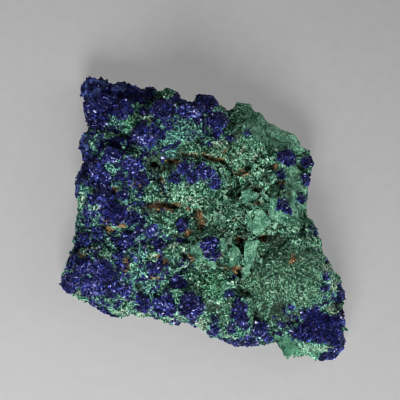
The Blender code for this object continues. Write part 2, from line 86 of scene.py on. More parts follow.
# %% Where the azurite lies
AZURITE = [  # nodules and crusts
    (-20.0, 22.6, 3.2, 3.6), (-16.0, 24.0, 4.0, 2.2, -12), (-22.3, 12.0, 1.7, 2.3),
    (-23.2, 4.4, 1.6, 2.5), (-14.6, 22.2, 6.6, 2.2, -8), (-19.3, 21.0, 1.7, 3.8),
    (-18.8, 17.0, 1.9, 2.2), (-14.3, 18.6, 1.9), (-21.0, 12.0, 0.8, 2.1), (-18.2, 11.8, 0.9),
    (-15.7, 12.3, 1.0), (-12.9, 12.6, 0.9), (-10.2, 14.2, 2.4), (-6.9, 18.6, 2.0), (-2.5, 18.7, 1.9),
    (-0.8, 17.0, 1.2), (0.8, 20.0, 2.0), (2.4, 16.6, 1.6), (-4.9, 20.6, 0.8), (2.8, 14.2, 1.1),
    (5.3, 13.2, 0.9), (8.4, 14.3, 0.6), (1.3, 11.9, 0.6), (15.1, 9.4, 1.6, 1.7, -30),
    (18.9, 8.8, 0.8, 1.0, 20), (18.8, 5.5, 0.8, 1.0), (14.3, 6.6, 0.7), (14.4, 4.1, 0.45),
    (17.8, 2.0, 0.7), (14.5, 0.8, 1.1), (15.3, -0.3, 0.7), (19.8, -4.4, 0.3, 0.9, 20),
    (21.4, -8.0, 0.4), (22.2, -12.2, 0.8), (21.9, -14.7, 0.6), (25.0, -15.9, 1.2), (-16.2, 10.2, 1.3),
    (-19.6, 7.8, 1.8), (-12.4, 8.4, 1.8), (-18.2, 5.4, 1.8), (-21.4, 5.8, 0.7), (-14.8, 6.0, 1.0),
    (-11.2, 5.8, 1.3), (-22.1, 4.2, 0.7, 2.2), (-17.5, 2.1, 1.9), (-14.5, 2.8, 1.2), (-15.7, -0.9, 2.0),
    (-20.9, 1.2, 0.6), (-20.9, -0.9, 0.7), (-19.3, -1.0, 0.6), (-18.5, -4.1, 1.0), (-21.1, -5.6, 1.0),
    (-22.7, -7.0, 0.6, 1.4), (-11.0, 3.2, 0.8), (-3.0, 7.6, 1.3), (-4.8, 6.0, 1.2), (-1.7, 5.8, 1.0),
    (0.6, 7.0, 1.6), (2.5, 5.0, 1.2), (-12.5, -1.8, 1.1), (-11.0, -1.9, 0.8), (-11.3, -3.9, 0.8),
    (-9.0, -3.8, 1.2), (-3.5, -2.8, 1.2), (-13.4, -5.9, 1.6), (-10.3, -6.0, 0.6), (-7.8, -6.7, 1.1),
    (-4.0, -6.2, 1.1, 0.5), (1.4, -6.6, 1.5, 1.4), (2.2, -8.2, 1.0, 1.5, 20), (0.4, -6.6, 0.7, 0.9),
    (-8.0, -10.6, 1.4), (-4.3, -13.3, 1.5), (-6.0, -15.2, 0.6), (-21.2, -10.6, 1.8),
    (-18.0, -11.2, 1.9), (-17.0, -13.7, 2.2), (-23.0, -13.2, 1.9), (-20.0, -14.4, 1.8),
    (-13.9, -14.9, 1.3), (-15.0, -8.8, 0.7), (-23.2, -9.3, 0.9), (-10.4, -17.4, 1.4),
    (-6.4, -17.9, 1.9), (-2.0, -17.6, 2.1, 2.4), (-1.5, -20.3, 0.7), (-16.6, -19.2, 0.9, 0.6, -30),
    (-14.5, -17.0, 0.6), (4.8, -15.7, 0.7, 1.0), (6.8, -19.0, 1.5, 2.8, 8), (5.4, -21.8, 0.9),
    (2.4, -20.1, 0.7), (2.2, -22.1, 1.1, 1.0), (10.2, -21.9, 1.5), (8.7, -24.4, 1.4, 1.2, -30),
    (11.6, -23.9, 0.9), (5.5, -24.3, 0.8, 0.6), (3.5, -23.8, 0.6), (21.6, -22.0, 3.4, 2.6, -8),
    (19.9, -19.7, 1.2, 1.5), (18.9, -20.3, 0.9, 2.8, -37), (18.2, -19.4, 0.9, 0.7),
    (20.2, -18.4, 0.7, 0.9), (1.0, -8.2, 0.6, 0.8), (18.0, -23.2, 2.5, 1.0, -20),
    (24.0, -24.0, 1.5, 2.0), (21.9, -27.2, 1.2, 0.7), (-13.0, -19.6, 0.8, 0.4, -5),
    (-8.4, -19.8, 0.6, 0.3), (-12.4, -17.4, 0.7, 0.6), (-4.6, -21.0, 0.8, 0.4), (-16.7, 19.4, 1.2, 1.5),
    (6.0, -24.4, 1.6, 0.8), (13.4, -23.0, 1.0, 0.8), (3.2, 16.6, 1.6, 1.3), (-21.2, 10.4, 1.2, 1.7),
    (-15.5, 12.7, 1.4, 0.9), (-22.1, 6.1, 1.0), (-17.6, 9.1, 1.2, 0.8), (-16.2, -19.5, 1.4, 0.6, -10),
    (-7.9, 14.0, 1.3, 1.2), (24.7, -20.3, 1.0, 1.5), (-14.4, -10.3, 1.3, 0.9),
    (-11.2, -19.9, 1.2, 0.6, -10), (-6.3, -21.2, 1.6, 0.8, -15), (-24.2, -14.6, 1.2),
    (-19.4, -17.3, 1.0, 0.5, -30), (23.0, -27.0, 1.3, 0.9), (24.6, -24.5, 1.0, 1.7), (16.0, -18.0, 0.5),
    (14.2, -20.9, 0.8, 0.4, -10), (15.6, -19.7, 0.8, 0.4, -20), (-21.2, 12.7, 0.8),
    (-10.4, 4.7, 0.9, 0.7), (-15.1, -12.1, 0.8, 0.7), (-17.6, -18.6, 1.1, 0.5, -20),
    (-18.4, -8.0, 0.8, 0.6), (-16.4, 15.0, 0.9, 0.7), (-10.6, 18.1, 1.0, 0.7), (-17.5, -16.9, 0.9, 0.6),
    (-21.2, 7.6, 0.7), (-23.8, -10.3, 0.8), (23.9, -19.8, 1.0, 0.7), (-10.3, 2.8, 0.8, 0.5),
]
SPECKLED = [  # azurite and malachite finely mixed
    (-4.4, 14.4, 6.8, 5.8), (-16.0, 6.0, 7.4, 9.0), (-15.5, -4.0, 7.8, 5.6), (-17.0, 14.5, 4.5, 4.0),
    (-9.0, 3.0, 3.6), (-10.0, -9.0, 6.0), (15.2, -20.2, 2.6, 1.4, -10), (-12.0, -16.0, 9.0, 3.0, -8),
    (-5.0, 21.0, 1.7), (22.5, -12.0, 2.0, 5.0, 25), (-5.5, -20.8, 1.2, 1.0), (23.0, -17.0, 2.0, 2.4),
    (-3.0, -10.0, 2.6, 1.6), (5.4, -12.6, 1.2, 0.6), (-20.0, -19.0, 2.0, 1.0),
]
GREEN = [  # clean malachite between the nodules
    (-13.0, -17.7, 1.4, 0.6), (5.0, -18.0, 0.6, 1.4), (-4.4, -16.4, 0.5, 0.8), (-11.9, 10.0, 0.8, 0.6),
    (-2.3, 12.0, 1.5, 0.9), (-15.8, -3.5, 1.0, 0.8), (20.9, -9.6, 1.0, 1.7), (23.6, -12.4, 0.7, 1.2),
    (-0.5, -6.0, 0.6, 0.7), (-16.2, -16.8, 1.0, 0.6), (-5.4, -7.7, 1.6, 1.0), (-8.6, 2.0, 2.0, 0.9),
    (22.9, -18.4, 1.2), (-6.1, 21.2, 0.9, 0.7), (-8.8, -8.9, 1.2, 0.8), (-17.3, -8.5, 1.0, 0.8),
    (-16.8, 13.8, 1.0, 0.8), (17.2, 6.6, 0.8, 1.4), (11.0, 8.8, 1.2, 0.8), (14.0, 8.0, 1.0, 0.7),
    (2.2, 10.4, 2.2, 1.2, -20), (-1.4, 10.8, 1.8, 0.7), (20.0, -6.3, 0.6, 1.0), (2.0, -2.2, 1.4),
    (12.6, 3.2, 1.2, 0.9), (-3.4, 10.8, 1.0, 0.7), (-9.2, 3.8, 1.0, 0.8), (-19.6, 3.8, 0.8, 0.6),
    (-12.4, -10.8, 0.9, 0.6), (23.5, -14.5, 0.7), (22.4, -16.0, 0.5, 0.6), (22.8, -10.8, 0.8, 1.0),
    (19.0, 7.0, 0.8, 0.5), (1.6, 8.3, 1.0, 0.5), (13.2, -23.6, 0.5, 0.6), (8.3, -18.6, 0.4, 0.8),
    (-13.3, 15.0, 0.6, 0.5), (-9.3, -7.2, 0.7, 0.6), (-14.4, 14.3, 0.7, 0.6), (-12.8, 0.0, 0.7, 0.4),
    (-15.3, -18.7, 1.0, 0.4, -10), (-14.0, -16.4, 0.6, 0.5), (7.4, -15.4, 0.5, 0.7),
    (-12.4, 1.9, 0.8, 0.4), (-21.6, 1.9, 0.6, 1.0), (-10.4, -19.3, 0.9, 0.4), (-9.5, 16.6, 0.5, 0.8),
    (-0.3, 12.9, 0.8, 0.5), (-15.3, 3.7, 0.7, 0.5), (-6.5, -19.6, 0.8, 0.4), (22.6, -13.6, 0.5, 0.4),
    (-1.2, -15.6, 0.6, 0.5), (-7.8, -16.0, 0.7, 0.5), (-14.8, -5.2, 0.6), (-1.8, 15.3, 0.7, 0.6),
]
print(len(AZURITE), "azurite patches")

# %% [markdown]
# ## How the azurite looks
# The nodules aren't alike. Some carry painted sparkle, a lighter violet where glints gather, others stay
# dark, and over the north-west corner the dark blue is painted shade. On the west side the crystals are
# so large that they show as smooth faces.

# %% Kinds of azurite
PAINTED_SPARKLE = [  # painted sparkle: lighter violet where glints gather
    (-18.0, 5.4, 2.6, 2.2), (-18.4, -0.6, 2.2, 1.6), (-12.4, 8.4, 2.4, 1.8), (-20.0, -14.4, 2.2, 1.4),
    (-16.4, 9.8, 1.6, 1.2), (-13.6, -6.0, 1.4), (-9.0, -3.8, 1.0), (0.8, 7.2, 1.4),
    (-2.6, 18.2, 1.8, 1.4), (-13.9, -14.8, 1.4), (-10.0, 13.8, 1.6), (1.6, -6.4, 1.2, 1.0),
    (-6.6, -17.6, 1.6, 1.2), (-20.0, -10.6, 1.8, 1.0), (-4.3, -13.2, 1.2), (24.8, -21.0, 0.9, 1.4),
]
DIM = [  # painted shade over the north-west corner, and nodules that are dark navy
    (-14.0, 22.0, 7.6, 2.6, -8), (-20.0, 22.4, 3.0, 3.6), (-17.0, 19.4, 1.6, 2.4),
    (-11.2, 19.4, 2.4, 1.8), (0.4, 20.6, 1.8, 1.4), (-13.6, 12.4, 1.8, 1.4), (-15.4, -0.6, 1.4),
    (-17.0, -12.0, 0.9), (-23.8, -13.6, 1.4, 1.0), (15.2, 10.4, 1.3), (-20.6, -11.1, 1.5, 1.0),
    (-2.2, 7.8, 1.0, 0.8), (-20.0, 12.1, 1.2, 1.0), (-10.4, 18.5, 1.2, 0.8), (-13.9, 9.2, 1.0, 0.8),
    (-17.5, 9.9, 1.0, 0.8), (-20.0, 0.0, 0.9, 0.6), (18.4, -21.0, 1.6, 1.4), (14.4, -20.6, 1.6, 0.8),
    (-19.6, -13.0, 1.6, 1.2), (-15.6, -11.6, 0.9, 0.8), (-17.0, -19.0, 1.0, 0.5, -20),
    (19.8, -19.8, 1.4), (21.6, -21.6, 3.8, 2.6, -8), (-2.0, -17.6, 0.9), (-12.4, 10.6, 1.4, 0.8),
    (-8.0, 21.4, 1.6, 0.8, -20),
]
SLAB = [  # smooth faces
    (-22.0, 12.0, 1.6, 2.3), (-23.0, 4.4, 1.5, 2.5), (-20.6, 23.0, 2.6, 2.8),
    (-14.6, 23.9, 5.4, 1.7, -12),
]
print(len(PAINTED_SPARKLE), "sparkle patches,", len(DIM), "dark ones and", len(SLAB), "smooth faces")

# %% [markdown]
# ## How the malachite looks
# The green changes from place to place: pale where the crust is thin and velvety, cream on broken
# edges, with a painted highlight along the lit top edge of the north-east ridge, vivid in fresh tufts.
# The north-east ridge is smooth, the south-east is a fan of fine fibres that run out from one point, and
# the middle has grown into small plates.

# %% Kinds of malachite
PALE = [  # thin, velvety crust
    (8.6, 11.4, 4.2, 4.4), (9.0, -7.5, 1.8, 2.6), (10.4, -2.0, 3.0), (5.5, -8.6, 1.8),
    (-1.0, 2.2, 5.0, 2.4), (8.0, 2.3, 1.8, 1.4), (13.4, 0.6, 1.8, 2.2), (4.2, 4.0, 1.2, 3.0),
    (0.5, -10.6, 2.4, 1.4), (14.0, 8.4, 1.4, 1.0), (-9.6, -8.4, 1.9, 1.2, -30),
    (-11.6, -10.8, 1.2, 0.7), (-5.0, 15.4, 0.9), (-8.8, 18.4, 0.35, 1.6, -15),
    (-6.0, 11.0, 2.2, 0.8, 20), (-4.2, -5.2, 1.6, 0.5, -10), (-7.3, 20.2, 0.7, 0.6),
    (20.0, -13.0, 2.2, 4.0, 10), (17.5, -2.8, 2.4, 3.2), (16.6, 5.0, 2.0, 2.6), (4.7, -11.7, 0.8),
    (7.4, -15.4, 0.6, 0.8), (17.6, -9.4, 1.4), (-16.9, 13.6, 0.9, 0.6),
]
CREAM = [  # pale broken edges, and a painted highlight on the lit top edge of the north-east ridge
    (20.2, -25.8, 2.8, 0.5, -6), (-14.4, -18.7, 1.5, 0.4, -10), (-10.6, -19.1, 1.2, 0.4),
    (23.5, -14.4, 0.8), (-21.3, 20.4, 0.35, 2.2), (-22.2, -15.4, 1.0, 0.6, -30),
    (-4.6, -20.1, 1.3, 0.3), (-0.2, -21.0, 1.0, 0.7, -40), (23.2, -18.4, 1.1, 1.1, 15),
    (5.0, -23.0, 0.8, 0.4), (12.8, 16.2, 3.2, 0.6, -37), (-1.6, 1.8, 1.8, 0.5), (-5.4, -6.9, 0.8, 0.5),
    (-8.4, -8.8, 1.2, 0.5), (-19.0, 0.2, 0.9, 0.4, 20), (2.4, 12.2, 1.2, 0.5),
    (1.4, 10.2, 1.4, 0.4, -15), (22.4, -10.6, 0.7, 0.9), (-21.6, 1.9, 0.5, 1.0), (7.2, -15.6, 0.5, 0.6),
    (17.5, -9.2, 0.5), (-3.2, -9.9, 0.7, 0.4), (-12.8, 0.0, 0.6, 0.3), (-22.3, -7.1, 0.4, 0.8),
    (-20.5, -7.6, 0.7, 0.4), (-14.0, -16.4, 0.6, 0.4), (7.0, 10.8, 0.4, 1.4, -30),
    (-9.7, 17.0, 0.5, 0.6), (1.3, 1.5, 1.0, 0.4), (-18.9, -7.5, 0.7, 0.4), (-4.3, 21.1, 0.6, 0.4),
    (-17.6, -9.1, 0.7, 0.4), (23.0, -25.5, 0.8, 0.3, -6), (24.5, -17.5, 0.5), (4.9, -11.6, 0.4),
    (-4.5, -5.2, 0.8, 0.3), (9.6, 9.6, 1.2, 0.4, 60),
]
BRIGHT = [  # fresh, vivid tufts
    (2.2, -14.0, 1.8, 2.2), (-13.2, 16.2, 1.6, 1.2, 30), (-19.3, 9.6, 0.7), (-20.9, 4.0, 0.7, 1.4),
    (-16.6, 8.2, 1.1, 0.7, 30), (-6.5, 12.6, 2.4, 1.4), (15.0, -25.2, 3.0, 1.4, -20),
    (-21.9, -3.4, 0.7, 1.2), (0.6, -13.0, 1.0), (-20.8, 9.0, 0.6, 1.2),
]
RIDGE = [  # smooth ground
    (12.8, 14.0, 8.4, 2.3, -37), (17.2, 3.4, 2.2, 6.4), (14.4, -24.8, 3.6, 1.9, -25),
    (19.8, -26.2, 3.2, 1.2, -6),
]
FAN = [  # fine fibres
    (15.0, -13.0, 7.4, 6.4, -10), (16.2, -10.4, 1.6, 2.2, 20), (12.6, -9.0, 4.0, 3.0),
]
FAN_APEX = (9.6, -8.6)  # the point that the fibres run out from
CENTRE = [  # crust that has grown into plates
    (7.0, -4.0, 8.6, 9.0),
]
print(len(PALE), "pale patches,", len(CREAM), "cream and", len(BRIGHT), "vivid")

# %% [markdown]
# ## Seams and hollows
# Limonite is a rusty crust that fills the seams. Round it lies dark brown earth, and the same dark brown
# is painted shade in the clefts, under the plates and in thin lines between them.

# %% The brown patches
LIMONITE = [  # rusty crust in the seams
    (0.9, 9.8, 1.2, 0.5, -15), (4.4, 8.7, 1.2, 0.5, -15), (4.2, 10.7, 0.5, 0.4),
    (-2.4, 10.1, 1.6, 0.3, 5), (2.6, 9.0, 2.4, 0.5, -17), (-4.7, 8.9, 1.4, 0.6), (-7.3, 5.2, 0.5, 1.9),
    (-7.0, 0.6, 3.2, 0.8), (-2.4, 0.0, 0.9, 0.6), (-0.2, -1.8, 0.8, 2.0), (7.0, 6.6, 1.6, 0.5),
    (-17.6, -2.3, 0.7), (-14.7, -2.9, 0.7), (-16.5, -4.0, 0.8), (-15.8, 3.5, 0.6),
    (-13.5, -10.4, 0.5, 1.6), (-8.5, -12.7, 1.5, 0.5), (-21.6, -8.3, 0.6), (-2.7, -4.5, 1.0, 0.6, 30),
    (6.7, -5.6, 1.2, 0.7), (11.1, -5.4, 0.8), (5.8, -11.2, 1.1, 0.7, 30), (14.2, 5.0, 0.9, 0.6),
    (16.3, -9.5, 0.7), (-6.5, -10.0, 0.6), (-1.7, -9.0, 0.8, 0.5), (10.2, 1.2, 0.7, 0.5),
    (3.0, -9.0, 0.9, 0.3, 40), (4.4, -11.0, 1.2, 0.35, -15), (16.3, -8.6, 0.5, 0.8),
    (5.8, -1.9, 0.7, 0.25, -20), (3.6, -3.9, 0.8, 0.25, 10), (13.2, 8.0, 0.6), (-11.6, 4.6, 1.4, 0.4),
    (-7.6, -9.0, 0.8, 0.5),
]
SOIL_AND_SHADE = [  # dark brown earth, and painted shade in clefts, under plates and between them
    (-6.6, 8.4, 2.6, 1.3, -10), (-7.0, 0.4, 3.6, 0.7), (-9.6, -0.6, 1.2, 0.6, -20),
    (1.2, 9.2, 2.6, 0.3, -12), (-0.2, -1.9, 1.1, 2.0), (-2.6, -4.6, 1.6, 0.7, 30),
    (6.6, -5.7, 1.5, 0.8), (6.6, -11.6, 0.9, 1.4), (11.6, -5.4, 1.2, 0.8), (13.7, -5.6, 1.7, 1.3, -10),
    (10.6, -24.6, 0.7, 0.6), (-11.1, -14.5, 0.9, 1.0), (-2.0, -13.6, 0.5), (13.9, -18.4, 1.3, 1.4),
    (15.0, -21.2, 1.2, 0.4, -10), (14.0, -17.4, 0.7), (5.4, 9.7, 0.6), (10.3, 2.6, 0.6, 0.4),
    (1.3, -18.2, 0.8, 0.9), (2.7, -17.9, 0.7, 0.6), (13.5, -13.2, 0.3, 0.6), (1.1, 15.1, 0.8, 0.5),
    (13.7, -3.2, 0.5), (6.8, -13.8, 0.4, 0.6), (11.9, 4.7, 0.8, 0.4), (13.6, -19.8, 0.9, 0.6),
    (16.6, -20.8, 0.9, 0.5, -20), (13.4, -21.4, 0.6, 0.5), (10.0, -19.6, 0.7, 1.6, 10),
    (9.3, -21.0, 0.7, 1.0), (3.2, -19.3, 0.5), (14.9, -20.3, 0.8, 0.5), (17.2, -19.2, 0.8, 0.5),
    (13.1, -25.0, 0.5, 0.8), (0.4, -10.8, 0.8, 0.5), (-11.2, 13.0, 0.8, 0.4), (-5.2, -10.8, 0.6),
    (13.1, -20.6, 0.5), (13.0, -22.6, 0.9, 0.6), (-6.9, -9.9, 0.8, 1.6), (-1.6, -8.9, 0.7, 0.6),
    (-13.4, -9.8, 0.6, 1.4, 10), (-16.2, -2.8, 2.4, 1.2), (12.8, 8.0, 0.8, 0.6),
    (13.4, -12.2, 3.4, 0.2), (13.1, -16.0, 0.2, 1.8, -5), (16.6, -14.6, 0.16, 1.4, 20),
    (10.6, -14.4, 0.25, 1.6, 20), (4.5, 4.2, 0.3, 2.0), (6.4, 2.7, 0.3, 1.3),
    (9.4, 3.5, 0.35, 1.3, -35), (11.2, 3.8, 0.7, 0.25, 20), (-8.9, 8.6, 1.4, 2.4),
    (5.2, 11.7, 0.8, 0.6), (12.4, -19.6, 0.5, 1.0), (11.2, 6.0, 0.8), (16.0, 3.0, 0.5, 1.1),
    (7.6, -4.9, 0.5, 0.4), (5.9, -1.5, 0.5), (10.3, 3.0, 0.7, 0.4), (7.4, -1.8, 0.25, 2.2, -5),
    (10.2, -5.4, 2.7, 0.25), (4.8, -7.2, 0.25, 1.2, -40), (7.0, 0.3, 1.5, 0.2, -12),
    (7.7, -4.4, 0.6, 0.5), (4.4, -7.9, 0.25, 0.9, -40), (6.5, 13.8, 0.8, 0.9, -40),
    (15.6, -19.6, 1.5, 0.5, 10), (11.0, -18.5, 0.5, 0.9), (6.2, 1.8, 0.5, 0.8), (-7.3, -2.4, 0.6),
    (0.3, 5.2, 0.8, 0.4), (-2.2, 4.8, 0.9, 0.4), (3.0, -13.9, 0.5, 0.8), (7.6, 9.2, 0.4, 0.7),
    (-7.9, 11.9, 0.6, 0.5), (19.8, -17.8, 1.0, 0.3, 30), (8.4, 5.2, 0.4, 0.9, 30), (-10.4, -3.5, 0.5),
    (-2.7, -6.2, 0.7, 0.6), (-5.2, -3.2, 0.6, 0.5), (-15.8, -11.4, 0.6, 0.7), (3.2, -10.2, 0.6, 0.5),
    (-2.9, 4.2, 0.5), (13.3, 13.2, 0.9, 0.3, -35), (-7.2, 4.4, 0.5, 1.8), (5.0, 15.6, 1.4, 0.7, 30),
    (9.8, 3.8, 1.0, 0.8),
]
print(len(LIMONITE), "limonite seams and", len(SOIL_AND_SHADE), "dark hollows")

# %% [markdown]
# ## Where the form departs from the solid
# The solid's outline is a little too even, so the edge is pushed out or in at some places. Some of its
# clefts are too deep: on the real stone the crust has half filled them.

# %% Nudges and fillings
EDGE = [  # where the broken edge stands out or in: x, y, radius and by how much
    (-21.4, 22.6, 2.2, 0.6), (-21.4, 18.6, 2.0, 0.5), (-14.8, 23.8, 1.4, 0.5), (-9.2, 22.6, 1.2, 0.4),
    (-17.4, 24.0, 0.8, -0.5), (-2.5, 20.4, 1.3, -0.7), (7.1, 19.6, 1.5, 0.5), (10.4, 17.0, 2.0, 0.6),
    (14.0, 15.0, 2.0, 0.6), (17.0, 13.2, 1.6, 0.5), (19.4, 10.8, 1.4, 0.4), (19.2, 3.0, 2.0, 0.4),
    (19.2, -0.9, 0.8, -0.4), (20.4, -3.6, 1.0, 0.4), (22.7, -9.5, 1.7, -0.3), (25.1, -14.6, 1.5, -0.4),
    (25.1, -18.8, 1.6, -0.5), (24.8, -27.0, 0.9, -0.5), (13.7, -26.0, 1.2, 0.6),
    (16.2, -27.9, 1.0, -0.9), (19.2, -27.6, 0.8, 0.4), (10.1, -25.8, 2.2, -0.4),
    (-3.1, -21.4, 1.3, -0.6), (-6.3, -21.2, 1.3, 0.5), (-9.2, -20.2, 0.8, -0.5),
    (-15.8, -20.0, 1.6, 0.4), (-21.1, -17.5, 2.2, -0.5), (-25.6, -14.2, 0.9, 0.5),
    (-24.8, -10.8, 2.0, -0.5), (-23.5, -6.1, 1.4, -0.7), (-22.7, -3.0, 1.4, 0.3),
    (-22.5, 0.7, 1.0, -0.3), (-22.5, 3.9, 1.8, 0.4), (-22.4, 6.9, 0.8, -0.6), (-22.0, 11.9, 1.8, 0.35),
    (-21.2, 14.8, 0.9, -0.5),
]
FILLED = [  # clefts part filled by the crust: x, y, half width, half height, turn and height reached
    (2.6, 10.3, 3.0, 1.9, -15, 17.8), (-2.0, 10.6, 3.0, 1.5, 0, 18.4), (6.0, 5.2, 1.0, 2.8, 5, 16.6),
    (2.0, 12.3, 2.0, 1.6, 0, 17.0), (1.2, 9.8, 1.6, 0.9, -10, 18.4), (12.3, 2.7, 1.7, 1.4, 0, 17.8),
    (12.3, 0.6, 0.9, 1.6, 0, 18.5), (13.2, 9.2, 2.2, 2.6, 0, 15.0), (-9.2, 2.2, 3.0, 1.7, 0, 13.8),
    (-12.2, 1.6, 1.4, 1.0, 0, 14.2), (1.6, -2.4, 2.4, 1.8, 0, 17.0), (1.6, 0.4, 2.4, 1.8, 0, 16.8),
    (1.4, -1.0, 1.6, 1.0, 0, 17.2), (3.3, 1.9, 1.2, 1.6, 0, 17.2), (-13.8, 12.4, 1.6, 1.2, 0, 13.8),
    (-6.2, 20.6, 1.5, 1.3, 0, 18.6), (-17.2, -8.5, 1.8, 0.9, 0, 13.8), (-9.0, 3.8, 1.6, 1.2, 0, 13.8),
    (-16.4, -6.6, 1.8, 1.4, 0, 11.8), (-8.2, -8.1, 2.6, 1.0, 0, 14.8), (10.6, 8.8, 1.6, 1.1, 0, 17.4),
    (19.6, -6.2, 1.8, 1.8, 0, 15.4), (20.2, -4.0, 1.6, 2.0, 0, 14.0), (19.0, 7.2, 1.0, 1.4, 0, 12.4),
    (12.0, -6.6, 2.2, 1.4, 0, 17.0), (16.5, -6.4, 2.0, 1.4, 0, 16.6), (-20.6, 4.0, 1.6, 1.4, 0, 12.2),
    (-14.9, 4.4, 2.0, 0.9, 0, 15.2), (-16.9, 13.6, 1.4, 0.9, 0, 12.4), (-5.4, -7.0, 1.6, 1.4, 0, 13.0),
    (23.4, -18.8, 1.4, 1.0, 0, 13.0), (-2.0, -12.4, 1.8, 1.6, 0, 13.4), (-21.8, 1.8, 1.0, 1.4, 0, 10.5),
    (-17.4, -9.0, 1.0, 0.7, 0, 14.6), (-18.9, -7.6, 0.9, 0.7, 0, 12.8), (-3.0, -9.8, 1.2, 0.8, 0, 12.6),
    (-20.9, 4.9, 0.9, 0.7, 0, 12.8), (-9.7, 17.0, 0.9, 0.8, 0, 18.2), (-17.4, 3.9, 1.8, 0.9, 0, 14.8),
]
print(len(EDGE), "nudges of the edge and", len(FILLED), "fillings")

# %% [markdown]
# ## The plates
# Thirteen plates stand free in the middle. Each is given by its corners on the sheet.

# %% Outlines of the plates
PLATES = [  # the corners (x, y) of each plate
    [(7.8, -5.9), (10.2, -5.7), (9.7, -8.0), (9.0, -9.7), (8.2, -11.0), (7.5, -10.6), (7.5, -7.4)],
    [(7.5, -10.6), (8.4, -10.8), (8.9, -12.0), (8.3, -12.6), (7.0, -12.5), (6.8, -11.4)],
    [(4.9, -7.4), (5.7, -6.3), (6.6, -7.2), (7.1, -8.6), (5.4, -9.0), (4.2, -8.6)],
    [(4.2, -9.6), (5.4, -8.9), (7.0, -8.8), (6.2, -10.3), (5.2, -11.0), (4.2, -10.5)],
    [(3.2, -5.4), (4.0, -5.3), (4.4, -6.8), (3.9, -8.8), (3.3, -7.6)],
    [(-2.1, -7.5), (0.0, -5.3), (0.5, -6.8), (0.1, -8.2), (0.9, -9.5), (-0.3, -9.9), (-1.9, -8.7)],
    [(0.9, -9.4), (2.9, -9.4), (2.5, -11.2), (1.6, -10.8)],
    [(8.8, 0.9), (9.8, 0.8), (11.2, -0.5), (12.5, -2.2), (11.6, -3.7), (10.2, -4.8), (9.1, -4.6),
     (9.0, -2.4), (9.6, -1.2)],
    [(7.9, -0.3), (8.7, -0.6), (9.3, -2.4), (8.9, -4.4), (8.0, -4.2), (8.1, -2.0)],
    [(12.4, 2.3), (13.6, 1.9), (13.3, 0.4), (15.3, -0.8), (14.8, -2.3), (13.4, -2.9), (12.1, -1.6)],
    [(7.0, 3.2), (8.2, 3.7), (10.0, 3.1), (9.9, 1.9), (8.4, 0.6), (7.1, 1.1)],
    [(5.1, 1.2), (5.0, 3.5), (5.6, 5.2), (6.6, 6.0), (8.2, 5.6), (9.0, 4.3), (6.9, 4.6), (6.0, 3.8),
     (5.9, 1.0)],
    [(11.1, 2.8), (12.6, 3.5), (13.1, 2.4), (12.0, 0.9), (11.0, 1.6)],
]
print(len(PLATES), "plates")

# %% [markdown]
# ## How far inside a patch
# One number says where a point is: its distance inside the nearest patch, below 0 when it is outside.
# A soft border is then a smooth step across 0.

# %% Measure the patches
def along_axes(sheet, x, y, turn):
    """Where places on the sheet lie from x, y, along axes that are turned by so many degrees."""
    c, s = math.cos(math.radians(turn)), math.sin(math.radians(turn))
    across, up = sheet[:, 0] - x, sheet[:, 1] - y
    return across * c + up * s, up * c - across * s


def patch_field(sheet, patches):
    """How far each place lies inside the nearest oval, in millimetres. It is below 0 outside."""
    field = np.full(len(sheet), -9.0)
    for x, y, width, *rest in patches:
        height = rest[0] if rest else width
        turn = rest[1] if len(rest) > 1 else 0
        wide, high = along_axes(sheet, x, y, turn)
        field = np.maximum(field, (1 - np.hypot(wide / width, high / height)) * min(width, height))
    return field


def polygon_field(sheet, corners):
    """How far each place lies inside the polygon, in millimetres. It is below 0 outside."""
    near = np.full(len(sheet), 99.0)
    inside = np.zeros(len(sheet), bool)
    for (ax, ay), (bx, by) in zip(corners, corners[1:] + corners[:1]):
        along = np.array((bx - ax, by - ay))
        away = sheet - (ax, ay)
        share = np.clip(away @ along / (along @ along), 0, 1)
        near = np.minimum(near, np.hypot(*(away - share[:, None] * along).T))
        if ay != by:
            crosses = (ay > sheet[:, 1]) != (by > sheet[:, 1])
            inside ^= crosses & (sheet[:, 0] < ax + (sheet[:, 1] - ay) * (bx - ax) / (by - ay))
    return np.where(inside, near, -near)


def smoothstep(low, high, value):
    """0 below low, 1 above high, with a soft turn between."""
    t = np.clip((value - low) / (high - low), 0, 1)
    return t * t * (3 - 2 * t)


def noise_at(points, size, shift=0.0):
    """Smooth noise of this grain size in millimetres, about -1 to 1. Each shift gives another noise."""
    return np.array([noise.noise(Vector(p)) for p in points / size + shift])


middle = patch_field(np.array([(21.6, -22.0)]), AZURITE)[0]
print("the middle of the south-east nodule lies", round(middle, 2), "mm inside its border")

# %% [markdown]
# ## The body of the rock
# The solid has large flat facets. A voxel remesh gives it an even skin of small quads, and that skin
# can carry real relief.

# %% A fine skin for the rock
SKIN = 0.24  # size of the skin's quads, in millimetres
WELD = 0.001  # points closer than this many millimetres become one


def bake_modifiers(piece):
    """Turns what the modifiers make into the piece's own plain mesh."""
    graph = bpy.context.evaluated_depsgraph_get()
    graph.update()
    mesh = bpy.data.meshes.new_from_object(piece.evaluated_get(graph), depsgraph=graph)
    piece.modifiers.clear()
    piece.data = mesh


def fine_skin(source, name, size):
    """A new object with an even skin around the source's mesh."""
    mesh = source.data.copy()
    bm = bmesh.new()
    bm.from_mesh(mesh)
    bmesh.ops.remove_doubles(bm, verts=bm.verts, dist=WELD * MM)
    bm.to_mesh(mesh)
    bm.free()
    skin = bpy.data.objects.new(name, mesh)
    bpy.context.scene.collection.objects.link(skin)
    remesh = skin.modifiers.new("skin", "REMESH")
    remesh.mode = "VOXEL"
    remesh.voxel_size = size * MM
    bake_modifiers(skin)
    return skin


def triangles(mesh):
    """How many triangles the mesh's faces come to."""
    return sum(len(face.vertices) - 2 for face in mesh.polygons)


rock = fine_skin(SOLID, "malachite_body", SKIN)
print("skin of the rock:", triangles(rock.data), "triangles")

# %% [markdown]
# ## Points as tables
# Relief is worked out for all points at once, so points and normals are read into tables with one row
# for each point. A point is smoothed by moving it towards the middle of its neighbours.

# %% Read, write and smooth the points
STEP_IN = 0.60  # share of the way to the neighbours
STEP_OUT = 0.63


